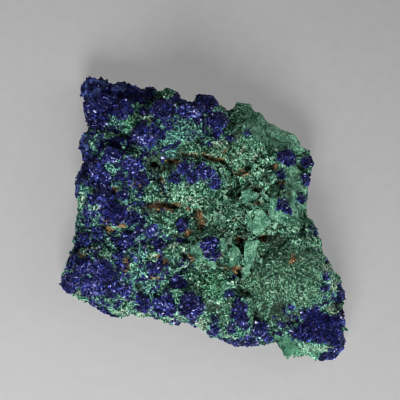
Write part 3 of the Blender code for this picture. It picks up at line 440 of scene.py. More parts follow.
def read_points(mesh):
    """The mesh's points in millimetres, N x 3."""
    points = np.empty(len(mesh.vertices) * 3, np.float32)
    mesh.vertices.foreach_get("co", points)
    return points.reshape(-1, 3).astype(float) / MM


def write_points(mesh, points):
    """Puts the points, in millimetres, back into the mesh."""
    mesh.vertices.foreach_set("co", (points * MM).astype(np.float32).ravel())
    mesh.update()


def read_normals(mesh):
    """Which way the skin faces at each point, N x 3."""
    normals = np.empty(len(mesh.vertices) * 3, np.float32)
    mesh.vertex_normals.foreach_get("vector", normals)
    return normals.reshape(-1, 3).astype(float)


def neighbour_mean(mesh, points):
    """The middle of each point's neighbours."""
    edges = np.empty(len(mesh.edges) * 2, np.int32)
    mesh.edges.foreach_get("vertices", edges)
    a, b = edges.reshape(-1, 2).T
    size = len(points)
    count = np.bincount(a, minlength=size) + np.bincount(b, minlength=size)
    total = np.empty_like(points)
    for axis in range(3):
        along = points[:, axis]
        total[:, axis] = np.bincount(a, along[b], size) + np.bincount(b, along[a], size)
    return total / count[:, None]


def relaxed(mesh, points, rounds):
    """The points after each has moved half way to its neighbours this many times."""
    for _ in range(rounds):
        points = 0.5 * points + 0.5 * neighbour_mean(mesh, points)
    return points


def unfaceted(mesh, points, rounds):
    """Smooths small facets away. Each step in is followed by one out, so large forms don't shrink."""
    for _ in range(rounds):
        points = points + STEP_IN * (neighbour_mean(mesh, points) - points)
        points = points - STEP_OUT * (neighbour_mean(mesh, points) - points)
    return points


skin = read_points(rock.data)
print("highest point at", round(skin[:, 2].max(), 1), "mm")

# %% [markdown]
# ## Which mineral is where
# The patches are soft-edged and ragged on the real stone, so their edges are pushed about by noise.
# Hidden flanks have no patches of their own: there a slow noise decides. All of it is kept as one
# number per point, an attribute that both the crystals and the finish read.

# %% Map the minerals on the skin
BASE_BAND = 0.7  # the lowest part of the rock stays as it is, so that it rests flat
FRAY = ((2.2, 0.55), (0.8, 0.35))  # noise that frays the patches: its grain size and its push
LOOKS = {  # patches of each look, and half the width of their soft border
    "pale": (PALE, 0.35), "bright": (BRIGHT, 0.45), "fan": (FAN, 0.65), "ridge": (RIDGE, 0.65),
    "centre": (CENTRE, 0.65), "frost": (PAINTED_SPARKLE, 0.65), "dim": (DIM, 0.65), "cream": (CREAM, 0.25),
    "soil": (SOIL_AND_SHADE, 0.25), "slab": (SLAB, 0.3), "mixed": (SPECKLED, 0.65),
}


def azurite_field(points, sheet, seen, fresh):
    """How far points lie inside azurite: by the patches where seen is 1, else by noise alone."""
    slow = noise_at(points, 5.0, 71.0)
    fine = noise_at(points, 0.75, 5.0)
    speckle = np.minimum(patch_field(sheet, SPECKLED), 0.5) - 0.75 + 1.3 * fine
    speckle = speckle + 0.8 * noise_at(points, 1.8, 23.0)
    shown = np.maximum(patch_field(sheet, AZURITE), speckle) - 1.6 * fresh
    smooth_ridge = smoothstep(-0.3, 0.6, patch_field(sheet, RIDGE))
    hidden = 2.4 * slow + 0.8 * fine - 0.7 - 2.0 * smooth_ridge
    return shown * seen + hidden * (1 - seen)


def mineral_maps(points, normals):
    """Shares from 0 to 1 of each mineral and look, at points in millimetres."""
    sheet = on_sheet(points)
    for size, push in FRAY:
        sheet[:, 0] += push * noise_at(points, size, 11.0)
        sheet[:, 1] += push * noise_at(points, size, 37.0)
    seen = smoothstep(-0.25, 0.08, normals @ TOWARDS)
    fresh = smoothstep(-0.25, 0.25, patch_field(sheet, GREEN)) * seen
    seen = np.maximum(seen, smoothstep(-0.3, 0.3, patch_field(sheet, SLAB)))
    blue = azurite_field(points, sheet, seen, fresh)
    near_blue = smoothstep(-0.7, 0.0, blue)
    in_mixed = smoothstep(-1.5, -0.1, 0.8 * patch_field(sheet, SPECKLED) - 1.5)
    maps = {
        "azurite": smoothstep(-0.25, 0.25, blue),
        "limonite": smoothstep(-0.15, 0.45, patch_field(sheet, LIMONITE) * seen - (1 - seen)),
        "teal": np.maximum(near_blue, in_mixed) * (1 - 0.85 * fresh),
        "fresh": fresh,
        "seen": seen,
        "facing": smoothstep(0.05, 0.5, normals @ TOWARDS),
        "base": 1 - smoothstep(0.1, BASE_BAND, points[:, 2]),
    }
    for name, (patches, border) in LOOKS.items():
        maps[name] = smoothstep(-border, border, patch_field(sheet, patches))
        if name not in ("ridge", "slab"):
            maps[name] *= seen
    plates = np.max([polygon_field(on_sheet(points), corners) for corners in PLATES], axis=0)
    maps["plate"] = smoothstep(-0.25, 0.1, plates) * seen
    maps["pale"] = np.maximum(maps["pale"], 0.9 * fresh)
    maps["soil"] *= 1 - fresh
    return maps


maps = mineral_maps(skin, read_normals(rock.data))
print("azurite covers", round(100 * maps["azurite"].mean()), "percent of the skin")

# %% [markdown]
# ## Smooth the facets, fill the clefts
# The facets between the nodules come from the solid's coarse mesh, so they are smoothed away. Nodules,
# plates and smooth faces keep theirs. Then the filled clefts rise towards the eye.

# %% Smooth and fill
NODULE_KEEPS = 0.7  # how much of its facets a nodule keeps
keep = np.max([NODULE_KEEPS * maps["azurite"], maps["plate"], maps["slab"]], axis=0)[:, None]
soft = unfaceted(rock.data, skin, rounds=12)
crisp = unfaceted(rock.data, skin, rounds=2)
points = soft * (1 - keep) + crisp * keep
sheet = on_sheet(points)
for x, y, width, height, turn, level in FILLED:
    wide, high = along_axes(sheet, x, y, turn)
    bump = np.exp(-(wide / width) ** 2 - (high / height) ** 2) * maps["seen"]
    rise = np.maximum(level - points[:, 2], 0) / TOWARDS[2]
    points = points + (rise * bump)[:, None] * TOWARDS
write_points(rock.data, points)
print("points moved by up to", round(np.abs(points - skin).max(), 2), "mm")

# %% [markdown]
# ## Relief
# Malachite has a lumpy, cauliflower-like crust: rounded swellings and sharp crests, made from noise
# whose sign is dropped. Azurite breaks into blocks, so its relief comes from cells. The fan of fibres
# in the south-east is finer, and the north-east ridge is nearly smooth.

# %% Raise the relief
SWELLING = 0.42  # heights of the crust in millimetres
CREST = 0.40
SMALL_CREST = 0.26
FIBRE = 0.30
MEAN_CRUST = 0.48  # taken off again, so that the rock doesn't grow
BLOCK = 0.36
SEAM = 0.30  # how deep the limonite lies


def billow(points, size):
    """Rounded swellings with sharp valleys, 0 in a valley and 1 on top."""
    return np.minimum(np.abs(noise_at(points, size)) * 2.2, 1)


def ridges(points, size, shift):
    """Sharp crests between rounded pits, 0 in a pit and 1 on a crest."""
    return np.clip(1 - 2.2 * np.abs(noise_at(points, size, shift)), 0, 1) ** 1.5


def cells(points, size):
    """Blocks: 0 at the border of two cells, 1 in the middle of one."""
    near = [noise.voronoi(Vector(p))[0] for p in points / size]
    return np.clip([second - first for first, second, *_ in near], 0, 1)


def fibres(points):
    """Thin ribs that run out from the fan's apex, 0 to 1."""
    east, north = points[:, 0] - FAN_APEX[0], points[:, 1] - FAN_APEX[1]
    turn, reach = np.arctan2(north, east), np.hypot(east, north)
    return ridges(np.column_stack((turn * 9.0, reach * 0.35, np.zeros(len(points)))), 1.0, 3.0)


normals = read_normals(rock.data)
crust = SWELLING * billow(points, 2.4) + CREST * ridges(points, 1.25, 9.0)
crust = crust + SMALL_CREST * ridges(points, 0.7, 4.0)
crust *= 1 - 0.50 * maps["fan"] - 0.75 * maps["ridge"]
crust *= (1 - 0.85 * maps["plate"]) * (1 - 0.7 * maps["slab"])
ribs = FIBRE * fibres(points) * maps["fan"]
blocks = BLOCK * np.sqrt(cells(points, 0.95)) * maps["azurite"] * (1 - 0.8 * maps["slab"])
lift = (crust + ribs - MEAN_CRUST) * (1 - 0.75 * maps["azurite"]) + blocks - 0.1 * maps["azurite"]
lift -= SEAM * maps["limonite"]
lift *= 1 - maps["base"]

sheet = on_sheet(points)
reach_out = np.zeros(len(points))
for x, y, radius, push in EDGE:
    reach_out += push * np.exp(-((sheet[:, 0] - x) ** 2 + (sheet[:, 1] - y) ** 2) / radius ** 2)
outward = normals - (normals @ TOWARDS)[:, None] * TOWARDS
points = points + outward * (reach_out * (1 - maps["base"]))[:, None]
points = points + normals * lift[:, None]
points[:, 2] = np.maximum(points[:, 2], 0)
write_points(rock.data, points)
print("relief from", round(lift.min(), 2), "to", round(lift.max(), 2), "mm")

# %% [markdown]
# ## Hollows and crests
# A point that smoothing would push outwards lies in a dip, and one that it would pull in sits on a
# crest.
# Both are kept as maps, for painted shade in the hollows and a painted highlight on the crests.

# %% Find the hollows and crests
MANY_ROUNDS = 40  # finds clefts
FEW_ROUNDS = 4  # finds pits between grains


def store(mesh, name, values):
    """Keeps one number per point on the mesh, for materials and for scattering."""
    layer = mesh.attributes.get(name) or mesh.attributes.new(name, "FLOAT", "POINT")
    layer.data.foreach_set("value", values.astype(np.float32))


skin = read_points(rock.data)
normals = read_normals(rock.data)
deep = ((relaxed(rock.data, skin, MANY_ROUNDS) - skin) * normals).sum(1)
small = ((relaxed(rock.data, skin, FEW_ROUNDS) - skin) * normals).sum(1)
cleft = smoothstep(0.10, 0.55, deep) * (1 - 0.6 * maps["fresh"])
# shaded_hollow: where painted shade darkens clefts and pits
maps["shaded_hollow"] = np.maximum(cleft, 0.9 * smoothstep(0.012, 0.07, small))
# crest: where a painted highlight lightens the crests
maps["crest"] = smoothstep(0.01, 0.07, -small)
for name, values in maps.items():
    store(rock.data, name, values)
print("hollows cover", round(100 * maps["shaded_hollow"].mean()), "percent of the skin")

# %% [markdown]
# ## Nodes in short
# Materials and Geometry Nodes are both built with one helper that makes a node, sets it up and links
# what it is given. The other helpers are short names for the nodes that are needed most.

# %% Helpers for node trees
def add(tree, kind, inputs=None, **settings):
    """Makes a node. Inputs, by name or number, are values or the outputs of other nodes."""
    made = tree.nodes.new(kind)
    for key, value in settings.items():
        setattr(made, key, value)
    for key, value in (inputs or {}).items():
        if isinstance(value, bpy.types.NodeSocket):
            tree.links.new(value, made.inputs[key])
        else:
            made.inputs[key].default_value = value
    return made


def math_node(tree, operation, a, b=0.0, clamp=False):
    """The operation done on a and b. If clamp is set, the result is held between 0 and 1."""
    return add(tree, "ShaderNodeMath", {0: a, 1: b}, operation=operation, use_clamp=clamp).outputs[0]


def times(tree, a, b):
    """a x b."""
    return math_node(tree, "MULTIPLY", a, b)


def line(tree, value, slope, start, clamp=False):
    """value x slope + start."""
    inputs = {0: value, 1: slope, 2: start}
    return add(tree, "ShaderNodeMath", inputs, operation="MULTIPLY_ADD", use_clamp=clamp).outputs[0]


def number(tree, name):
    """The attribute of this name."""
    return add(tree, "ShaderNodeAttribute", attribute_name=name).outputs["Fac"]


def ramp(tree, value, stops):
    """A colour ramp through stops, each a place and a colour."""
    made = add(tree, "ShaderNodeValToRGB", {0: value})
    elements = made.color_ramp.elements
    while len(elements) < len(stops):
        elements.new(0.5)
    for element, (place, colour) in zip(elements, stops):
        element.position = place
        element.color = (*colour, 1)
    return made.outputs[0]


def grain(tree, place, size, detail=2.0, roughness=0.5):
    """Noise of this grain size in millimetres, 0 to 1."""
    inputs = {"Vector": place, "Scale": 1 / (size * MM), "Detail": detail, "Roughness": roughness}
    return add(tree, "ShaderNodeTexNoise", inputs).outputs["Fac"]


# %% [markdown]
# ## Finishes in layers
# Every finish starts from one colour. Others are laid over it, each as strong as a map says at that
# point, so a later layer hides the earlier ones.

# %% Helpers for finishes
def new_finish(name, roughness, ior=1.5, shine=0.5, tint=(1.0, 1.0, 1.0)):
    """A material with one Principled shader, and its tree, that shader and the place on the piece."""
    material = bpy.data.materials.new(name)
    material.use_nodes = True
    tree = material.node_tree
    shader = tree.nodes["Principled BSDF"]
    values = {"Roughness": roughness, "IOR": ior, "Specular IOR Level": shine,
              "Specular Tint": (*tint, 1)}
    for socket, value in values.items():
        shader.inputs[socket].default_value = value
    return material, tree, shader, add(tree, "ShaderNodeTexCoord").outputs["Object"]


def blend(tree, share, under, over):
    """The colour under, with this share of the colour over, which may be three plain numbers."""
    over = (*over, 1) if isinstance(over, tuple) else over
    return add(tree, "ShaderNodeMix", {0: share, 6: under, 7: over}, data_type="RGBA").outputs[2]


def layered(tree, colour, layers):
    """Lays colours over one another. A layer is the name of its map, its strength and its colour."""
    for name, strength, over in layers:
        colour = blend(tree, times(tree, number(tree, name), strength), colour, over)
    return colour


def fine_bump(tree, shader, place, depth):
    """Gives a finish sandy roughness of this depth in millimetres."""
    height = grain(tree, place, 0.22, 3.0, 0.6)
    bump = add(tree, "ShaderNodeBump", {"Strength": 0.8, "Distance": depth * MM, "Height": height})
    tree.links.new(bump.outputs[0], shader.inputs["Normal"])


# %% [markdown]
# ## Malachite
# Malachite is a green copper carbonate. Fine crystals make it pale and matt, solid parts are deep
# green, and where it meets azurite it turns teal. Its shade is built from three grains of noise, and
# each kind of crust has a ramp of its own over that shade.

# %% Colours of malachite
VELVET_SHINE = {"shine": 0.25, "tint": (0.38, 0.90, 0.82)}
GREENS = {  # from dark to light, each a place on the scale of shades and a colour
    "green": [(0.31, (0.002, 0.018, 0.011)), (0.52, (0.040, 0.155, 0.096)), (0.76, (0.31, 0.56, 0.40))],
    "pale": [(0.30, (0.003, 0.030, 0.016)), (0.5, (0.054, 0.195, 0.110)), (0.78, (0.29, 0.51, 0.34))],
    "vivid": [(0.30, (0.003, 0.026, 0.010)), (0.5, (0.022, 0.140, 0.062)), (0.8, (0.15, 0.44, 0.23))],
    "teal": [(0.30, (0.002, 0.007, 0.030)), (0.5, (0.016, 0.066, 0.092)), (0.78, (0.15, 0.42, 0.35))],
    "brown": [(0.25, (0.016, 0.008, 0.004)), (0.5, (0.11, 0.060, 0.024)), (0.8, (0.38, 0.23, 0.10))],
    "cream": [(0.28, (0.018, 0.055, 0.035)), (0.5, (0.19, 0.28, 0.20)), (0.8, (0.60, 0.64, 0.52))],
}
COMBED_GREEN = [(0.32, (0.006, 0.020, 0.012)), (0.52, (0.030, 0.078, 0.048)), (0.78, (0.17, 0.29, 0.18))]
RIDGE_GREEN = [(0.35, (0.040, 0.110, 0.070)), (0.65, (0.105, 0.245, 0.160))]
SEA_GREEN = [(0.39, (0.006, 0.032, 0.018)), (0.5, (0.038, 0.116, 0.072)), (0.61, (0.17, 0.31, 0.21))]
INK = [(0.3, (0.002, 0.002, 0.014)), (0.7, (0.008, 0.006, 0.060))]
BLUE_FACE = [(0.40, (0.003, 0.003, 0.018)), (0.52, (0.022, 0.028, 0.12)), (0.64, (0.070, 0.110, 0.31))]
print(len(GREENS), "ramps over the shade of the stone")

# %% [markdown]
# ## The malachite finish
# The body and the loose crystals share one finish. Loose ones have a number of their own, tone, in
# place of the lace of pits, with painted shade at their roots and a painted highlight at their tips.

# %% Make the malachite
def lace(tree, place, size):
    """Fine pale lines round dark pits of this size in millimetres, 0 in a pit and 1 on a line."""
    away = math_node(tree, "ABSOLUTE", math_node(tree, "SUBTRACT", grain(tree, place, size, 1.0), 0.5))
    return math_node(tree, "SUBTRACT", 1.0, times(tree, away, 7.0), clamp=True)


def streaks(tree, place):
    """Noise drawn out along lines that run from the fan's apex, 0 to 1."""
    part = add(tree, "ShaderNodeSeparateXYZ", {0: place}).outputs
    east = math_node(tree, "SUBTRACT", part["X"], FAN_APEX[0] * MM)
    north = math_node(tree, "SUBTRACT", part["Y"], FAN_APEX[1] * MM)
    squares = math_node(tree, "ADD", times(tree, east, east), times(tree, north, north))
    reach = times(tree, math_node(tree, "SQRT", squares), 0.6 / MM)
    turn = times(tree, math_node(tree, "ARCTAN2", north, east), 22.0)
    polar = add(tree, "ShaderNodeCombineXYZ", {"X": turn, "Y": reach, "Z": 0.0}).outputs[0]
    return add(tree, "ShaderNodeTexNoise", {"Vector": polar, "Scale": 1.0, "Detail": 2.0}).outputs["Fac"]


def with_vivid_spots(tree, place, tones):
    """Green with vivid patches a millimetre or so across."""
    moved = add(tree, "ShaderNodeVectorMath", {0: place, 1: (0.05, 0.02, 0.07)}, operation="ADD")
    lively = line(tree, grain(tree, moved.outputs[0], 1.2, 1.0), 6.0, -3.1, clamp=True)
    return blend(tree, times(tree, lively, 0.5), tones["green"], tones["vivid"])


def with_azurite_ground(tree, place, fine, colour):
    """Azurite is nearly black between its crystals and deep blue on its smooth faces."""
    face = ramp(tree, grain(tree, place, 1.6, 3.0), BLUE_FACE)
    ink = blend(tree, number(tree, "slab"), ramp(tree, fine, INK), face)
    return blend(tree, number(tree, "azurite"), colour, ink)


def with_tip_light_and_root_shade(tree, colour):
    """Paints a highlight on loose crystals' tips, except in dark earth and painted shade, and painted
    shade at their roots.
    """
    # painted highlight at the tip
    tip = line(tree, number(tree, "rise"), 4.0, -3.0, clamp=True)
    tip = times(tree, times(tree, tip, number(tree, "tone")), 0.6)
    tip = times(tree, tip, math_node(tree, "SUBTRACT", 1.0, number(tree, "soil")))
    colour = blend(tree, tip, colour, (0.50, 0.61, 0.48))
    # painted shade at the root
    root = line(tree, number(tree, "rise"), -1.5, 1.1, clamp=True)
    return blend(tree, root, colour, (0.002, 0.008, 0.005))


def malachite_finish(name, loose=False):
    """Green stone, either the body's ground or its loose crystals."""
    material, tree, shader, place = new_finish(name, 0.72, **VELVET_SHINE)
    fine, broad = grain(tree, place, 0.30, 1.0), grain(tree, place, 1.7, 2.0)
    own = number(tree, "tone") if loose else lace(tree, place, 0.55)
    shade = line(tree, own, 0.45, line(tree, fine, 0.35, times(tree, broad, 0.3)))
    tones = {tone: ramp(tree, shade, stops) for tone, stops in GREENS.items()}
    combed = ramp(tree, line(tree, streaks(tree, place), 0.55, times(tree, shade, 0.5)), COMBED_GREEN)
    colour = with_vivid_spots(tree, place, tones)
    if loose:
        lit = line(tree, number(tree, "mixed"), 0.12, number(tree, "tone"))
        fleck = line(tree, lit, 9.0, -7.6, clamp=True)
        colour = blend(tree, times(tree, fleck, 0.5), colour, tones["cream"])
    colour = layered(tree, colour, [
        ("pale", 0.5, tones["pale"]), ("bright", 0.8, tones["vivid"]), ("fan", 0.8, combed),
        ("teal", 0.8, tones["teal"]), ("cream", 0.8, tones["cream"]), ("plate", 0.5, tones["pale"]),
        # crest: a painted highlight on the crests of the skin
        ("crest", 0.35, tones["pale"]), ("ridge", 0.55, ramp(tree, broad, RIDGE_GREEN)),
    ])
    wall = times(tree, number(tree, "ridge"), number(tree, "bright"))
    colour = blend(tree, times(tree, wall, 0.65), colour, (0.02, 0.075, 0.045))
    if not loose:
        colour = with_azurite_ground(tree, place, fine, colour)
    colour = layered(tree, colour, [
        # dark earth, and painted shade in clefts and under plates
        ("soil", 0.8, (0.011, 0.007, 0.004)),
        # painted shade in the hollows
        ("shaded_hollow", 0.85 if loose else 0.95, (0.002, 0.009, 0.005)),
    ])
    if loose:
        colour = with_tip_light_and_root_shade(tree, colour)
    colour = blend(tree, number(tree, "limonite"), colour, tones["brown"])
    tree.links.new(colour, shader.inputs["Base Color"])
    fine_bump(tree, shader, place, 0.12)
    return material


rock.data.materials.clear()
rock.data.materials.append(malachite_finish("malachite"))
LEAF_FINISH = malachite_finish("malachite_leaf", loose=True)
print("the body's finish has", len(rock.data.materials[0].node_tree.nodes), "nodes")

# %% [markdown]
# ## The plates' finish
# Plates are an even sea green with a faint velvety grain, with painted shade in the hollows.

# %% Make the plates' finish
def plate_finish(name, loose=False):
    """Sea green for the plates, or for loose flags that take part of their shade from their tone."""
    material, tree, shader, place = new_finish(name, 0.75, **VELVET_SHINE)
    own = number(tree, "tone") if loose else grain(tree, place, 1.3)
    shade = line(tree, grain(tree, place, 0.24, 3.0, 0.7), 0.65, times(tree, own, 0.35))
    # painted shade in the hollows
    sea = layered(tree, ramp(tree, shade, SEA_GREEN), [
        # soil: dark earth, and painted shade in clefts and under plates
        ("shaded_hollow", 0.8, (0.003, 0.010, 0.005)), ("soil", 0.75, (0.010, 0.010, 0.005)),
    ])
    if loose:
        # painted shade at a flag's root
        root = line(tree, number(tree, "rise"), -1.6, 0.9, clamp=True)
        sea = blend(tree, root, sea, (0.006, 0.010, 0.005))
    tree.links.new(sea, shader.inputs["Base Color"])
    fine_bump(tree, shader, place, 0.10)
    return material


PLATE_FINISH = plate_finish("malachite_plate")
FLAG_FINISH = plate_finish("malachite_flag", loose=True)
print("finishes for plates:", PLATE_FINISH.name, "and", FLAG_FINISH.name)

# %% [markdown]
# ## Azurite
# Azurite is so deep a blue that its crystals look black until a face catches the light. Each crystal
# has its own number, tone, which moves it from near black through ultramarine to violet, and the few
# with the highest tone get a painted glint. Tips get a painted highlight, roots painted shade.

# %% Make the azurite
BLUES = [
    (0.28, (0.0008, 0.0012, 0.010)), (0.50, (0.006, 0.006, 0.052)), (0.69, (0.019, 0.031, 0.27)),
    (0.86, (0.27, 0.31, 0.56)),
]


def azurite_finish():
    """Glassy blue crystals. Painted sparkle makes some nodules a step lighter; dim ones are darker and
    get no painted tip highlights or glints.
    """
    tint = (0.50, 0.54, 1.0)
    material, tree, shader, place = new_finish("azurite", 0.30, shine=0.26, tint=tint)
    tone, rise = number(tree, "tone"), number(tree, "rise")
    shade = line(tree, grain(tree, place, 1.1), 1.10, -0.35)
    shade = math_node(tree, "ADD", shade, times(tree, tone, 0.46))
    # painted sparkle: a lighter shade where glints gather
    shade = math_node(tree, "ADD", shade, times(tree, number(tree, "frost"), 0.14))
    # dim: painted shade over the north-west corner, and dark navy nodules; it also takes away the
    # painted highlights
    blue = layered(tree, ramp(tree, shade, BLUES), [("dim", 0.5, (0.0055, 0.0038, 0.034))])
    lively = math_node(tree, "SUBTRACT", 1.0, number(tree, "dim"))
    # painted highlight on the tips of the crystals
    tip = times(tree, times(tree, line(tree, rise, 4.0, -3.2, clamp=True), tone), 0.5)
    blue = blend(tree, times(tree, tip, lively), blue, (0.17, 0.20, 0.44))
    # painted glint on the few crystals of highest tone
    glint = line(tree, tone, 20.0, -19.1, clamp=True)
    blue = blend(tree, times(tree, glint, lively), blue, (0.52, 0.52, 0.78))
    # painted shade in the hollows between nodules
    blue = layered(tree, blue, [("shaded_hollow", 0.85, (0.001, 0.0014, 0.010))])
    # painted shade at the roots
    root = line(tree, rise, -1.4, 0.9, clamp=True)
    blue = blend(tree, root, blue, (0.0006, 0.0008, 0.006))
    tree.links.new(blue, shader.inputs["Base Color"])
    return material


AZURITE_FINISH = azurite_finish()
print("the azurite has", len(AZURITE_FINISH.node_tree.nodes), "nodes")

# %% [markdown]
# ## Limonite
# Brown limonite is an earthy, matt crust, from dark rust to ochre.

# %% Make the limonite
RUST = [(0.2, (0.035, 0.018, 0.008)), (0.5, (0.19, 0.100, 0.038)), (0.8, (0.50, 0.30, 0.13))]


def limonite_finish():
    """Matt rusty grains, each with its own shade."""
    material, tree, shader, place = new_finish("limonite", 0.85)
    shade = line(tree, number(tree, "tone"), 0.6, times(tree, grain(tree, place, 0.5), 0.4))
    tree.links.new(ramp(tree, shade, RUST), shader.inputs["Base Color"])
    return material


LIMONITE_FINISH = limonite_finish()
print("the limonite has", len(RUST), "colours")

# %% [markdown]
# ## Crystal shapes
# A crystal is the hull of a few corner points: a block whose top is pinched to an edge. Four shapes
# are enough, since each one is turned and stretched differently. The root reaches below zero, so that
# it is buried in the rock. Each shape keeps its own height as a number, rise, for the finishes.

# %% Blocks for azurite
ROOT = -0.35  # how deep a crystal's root reaches, as a share of its height


def hull(name, corners):
    """The closed body with flat faces round these corners, in its own unit size."""
    bm = bmesh.new()
    for corner in corners:
        bm.verts.new(corner)
    made = bmesh.ops.convex_hull(bm, input=bm.verts)
    inner = [v for v in made["geom_interior"] if isinstance(v, bmesh.types.BMVert)]
    bmesh.ops.delete(bm, geom=inner, context="VERTS")
    bmesh.ops.recalc_face_normals(bm, faces=bm.faces)
    mesh = bpy.data.meshes.new(name)
    bm.to_mesh(mesh)
    bm.free()
    height = np.array([v.co.z for v in mesh.vertices])
    store(mesh, "rise", np.clip(height / height.max(), 0, 1))
    return bpy.data.objects.new(name, mesh)


def shape_set(name, shapes):
    """A collection of shapes for scattering. It isn't part of the scene."""
    box = bpy.data.collections.new(name)
    for place, corners in enumerate(shapes):
        box.objects.link(hull(f"{name}_{place}", corners))
    return box


def wedge(half_width, half_depth, shoulder, tip):
    """A block from its root up to a shoulder, pinched to an edge at height 1."""
    xs, ys, zs = (-half_width, half_width), (-half_depth, half_depth), (ROOT, shoulder)
    ring = [(x, y, z) for z in zs for x in xs for y in ys]
    return ring + [(-tip, 0.1 * half_depth, 1.0), (tip, -0.1 * half_depth, 1.0)]


WEDGES = shape_set("azurite_shape", [
    wedge(0.42, 0.30, 0.55, 0.26), wedge(0.50, 0.20, 0.70, 0.38), wedge(0.34, 0.32, 0.40, 0.12),
    wedge(0.46, 0.26, 0.80, 0.30),
])

# %% [markdown]
# ## Grains, leaves and flags
# Grains are six corners pushed about by chance. Leaves are thin flakes that stand on edge, and flags
# are flat plates cut from an outline.

# %% Shapes for malachite and limonite
FLAKE_ROOT = -0.3
FLAG_HALF = 0.05  # half a flag's thickness
OCTAHEDRON = ((1, 0, 0.2), (-1, 0.1, 0), (0.1, 1, 0), (0, -1, 0.15), (0.15, 0, 1), (0, 0.1, -1))
FLAG_OUTLINES = (
    ((-0.35, FLAKE_ROOT), (0.4, FLAKE_ROOT), (0.6, 0.5), (0.1, 1.0), (-0.5, 0.45)),
    ((-0.3, FLAKE_ROOT), (0.3, FLAKE_ROOT), (0.75, 0.7), (-0.15, 0.95)),
    ((-0.5, FLAKE_ROOT), (0.35, FLAKE_ROOT), (0.45, 0.8), (-0.7, 0.65)),
)


def bead(dice):
    """A grain of about unit size with six corners, which stands a little above its place."""
    pushed = [[0.5 * part * dice.uniform(0.8, 1.2) for part in corner] for corner in OCTAHEDRON]
    return [(x, y, z + 0.15) for x, y, z in pushed]


def leaf(width, height, thick, slant):
    """A thin flake that stands on its edge, with a ragged top."""
    low = [(x * width, y * thick, FLAKE_ROOT) for x in (-0.4, 0.4) for y in (-1, 1)]
    middle = [(x * width + slant, y * thick * 0.8, height * 0.6) for x in (-0.5, 0.5) for y in (-1, 1)]
    top = slant * 1.5
    return low + middle + [(top - 0.2 * width, 0.0, height), (top + 0.25 * width, 0.0, height * 0.9)]


dice = random.Random(5)
BEADS = shape_set("grain_shape", [bead(dice) for _ in range(4)])
LEAVES = shape_set("leaf_shape", [
    leaf(1.0, 0.8, 0.10, 0.1), leaf(0.8, 1.0, 0.12, -0.12), leaf(1.1, 0.7, 0.14, 0.0),
    leaf(0.7, 0.8, 0.09, 0.15),
])
FLAGS = shape_set("flag_shape", [
    [(x, y, z) for x, z in outline for y in (-FLAG_HALF, FLAG_HALF)] for outline in FLAG_OUTLINES
])

# %% [markdown]
# ## Scattering with Geometry Nodes
# Crystals repeat by the thousand, so a node tree sets them: points are spread over the skin where a
# map allows, each gets a crystal that stands roughly along the skin's normal, and the lot is made
# real. Poisson spacing keeps neighbours apart by a set distance.

# %% The scattering tree
DENSEST = 3.0e8  # points a square metre, more than the spacing lets through
SHORTEST = 0.8  # the lowest crystals, as a share of their width


def chance(tree, low, high, seed, kind="FLOAT"):
    """A random value between low and high for each crystal."""
    first = 2 if kind == "FLOAT" else 0
    inputs = {first: low, first + 1: high, "Seed": seed}
    return add(tree, "FunctionNodeRandomValue", inputs, data_type=kind).outputs[first // 2]


def scatter_tree(name, shapes, material):
    """A tree with inputs for spacing, size, lean and seed, which covers a skin with shapes."""
    tree = bpy.data.node_groups.new(name, "GeometryNodeTree")
    sockets = tree.interface
    sockets.new_socket("Skin", in_out="INPUT", socket_type="NodeSocketGeometry")
    for label in ("Spacing", "Smallest", "Largest", "Lean", "Stretch"):
        sockets.new_socket(label, in_out="INPUT", socket_type="NodeSocketFloat")
    sockets.new_socket("Seed", in_out="INPUT", socket_type="NodeSocketInt")
    sockets.new_socket("Crystals", in_out="OUTPUT", socket_type="NodeSocketGeometry")
    given = add(tree, "NodeGroupInput").outputs
    share = add(tree, "GeometryNodeInputNamedAttribute", {"Name": "share"}, data_type="FLOAT").outputs[0]
    spread = add(tree, "GeometryNodeDistributePointsOnFaces", {
        "Mesh": given["Skin"], "Distance Min": given["Spacing"], "Density Max": DENSEST,
        "Density Factor": share, "Seed": given["Seed"],
    }, distribute_method="POISSON")
    ahead = given["Lean"]
    back = times(tree, ahead, -1.0)
    low = add(tree, "ShaderNodeCombineXYZ", {"X": back, "Y": back, "Z": 0.0}).outputs[0]
    high = add(tree, "ShaderNodeCombineXYZ", {"X": ahead, "Y": ahead, "Z": math.tau}).outputs[0]
    lean = chance(tree, low, high, given["Seed"], "FLOAT_VECTOR")
    turned = add(tree, "FunctionNodeRotateRotation", {0: spread.outputs["Rotation"], 1: lean},
                 rotation_space="LOCAL")
    size = chance(tree, given["Smallest"], given["Largest"], 3)
    tall = times(tree, size, chance(tree, SHORTEST, given["Stretch"], 4))
    scale = add(tree, "ShaderNodeCombineXYZ", {"X": size, "Y": size, "Z": tall})
    choose = {"Collection": shapes, "Separate Children": True, "Reset Children": True}
    stock = add(tree, "GeometryNodeCollectionInfo", choose)
    placed = add(tree, "GeometryNodeInstanceOnPoints", {
        "Points": spread.outputs["Points"], "Instance": stock.outputs[0], "Pick Instance": True,
        "Rotation": turned.outputs[0], "Scale": scale.outputs[0],
    })
    toned = add(tree, "GeometryNodeStoreNamedAttribute", {
        "Geometry": placed.outputs[0], "Name": "tone", "Value": chance(tree, 0.0, 1.0, 8),
    }, data_type="FLOAT", domain="INSTANCE")
    real = add(tree, "GeometryNodeRealizeInstances", {0: toned.outputs[0]})
    dressed = add(tree, "GeometryNodeSetMaterial", {"Geometry": real.outputs[0], "Material": material})
    add(tree, "NodeGroupOutput", {0: dressed.outputs[0]})
    return tree


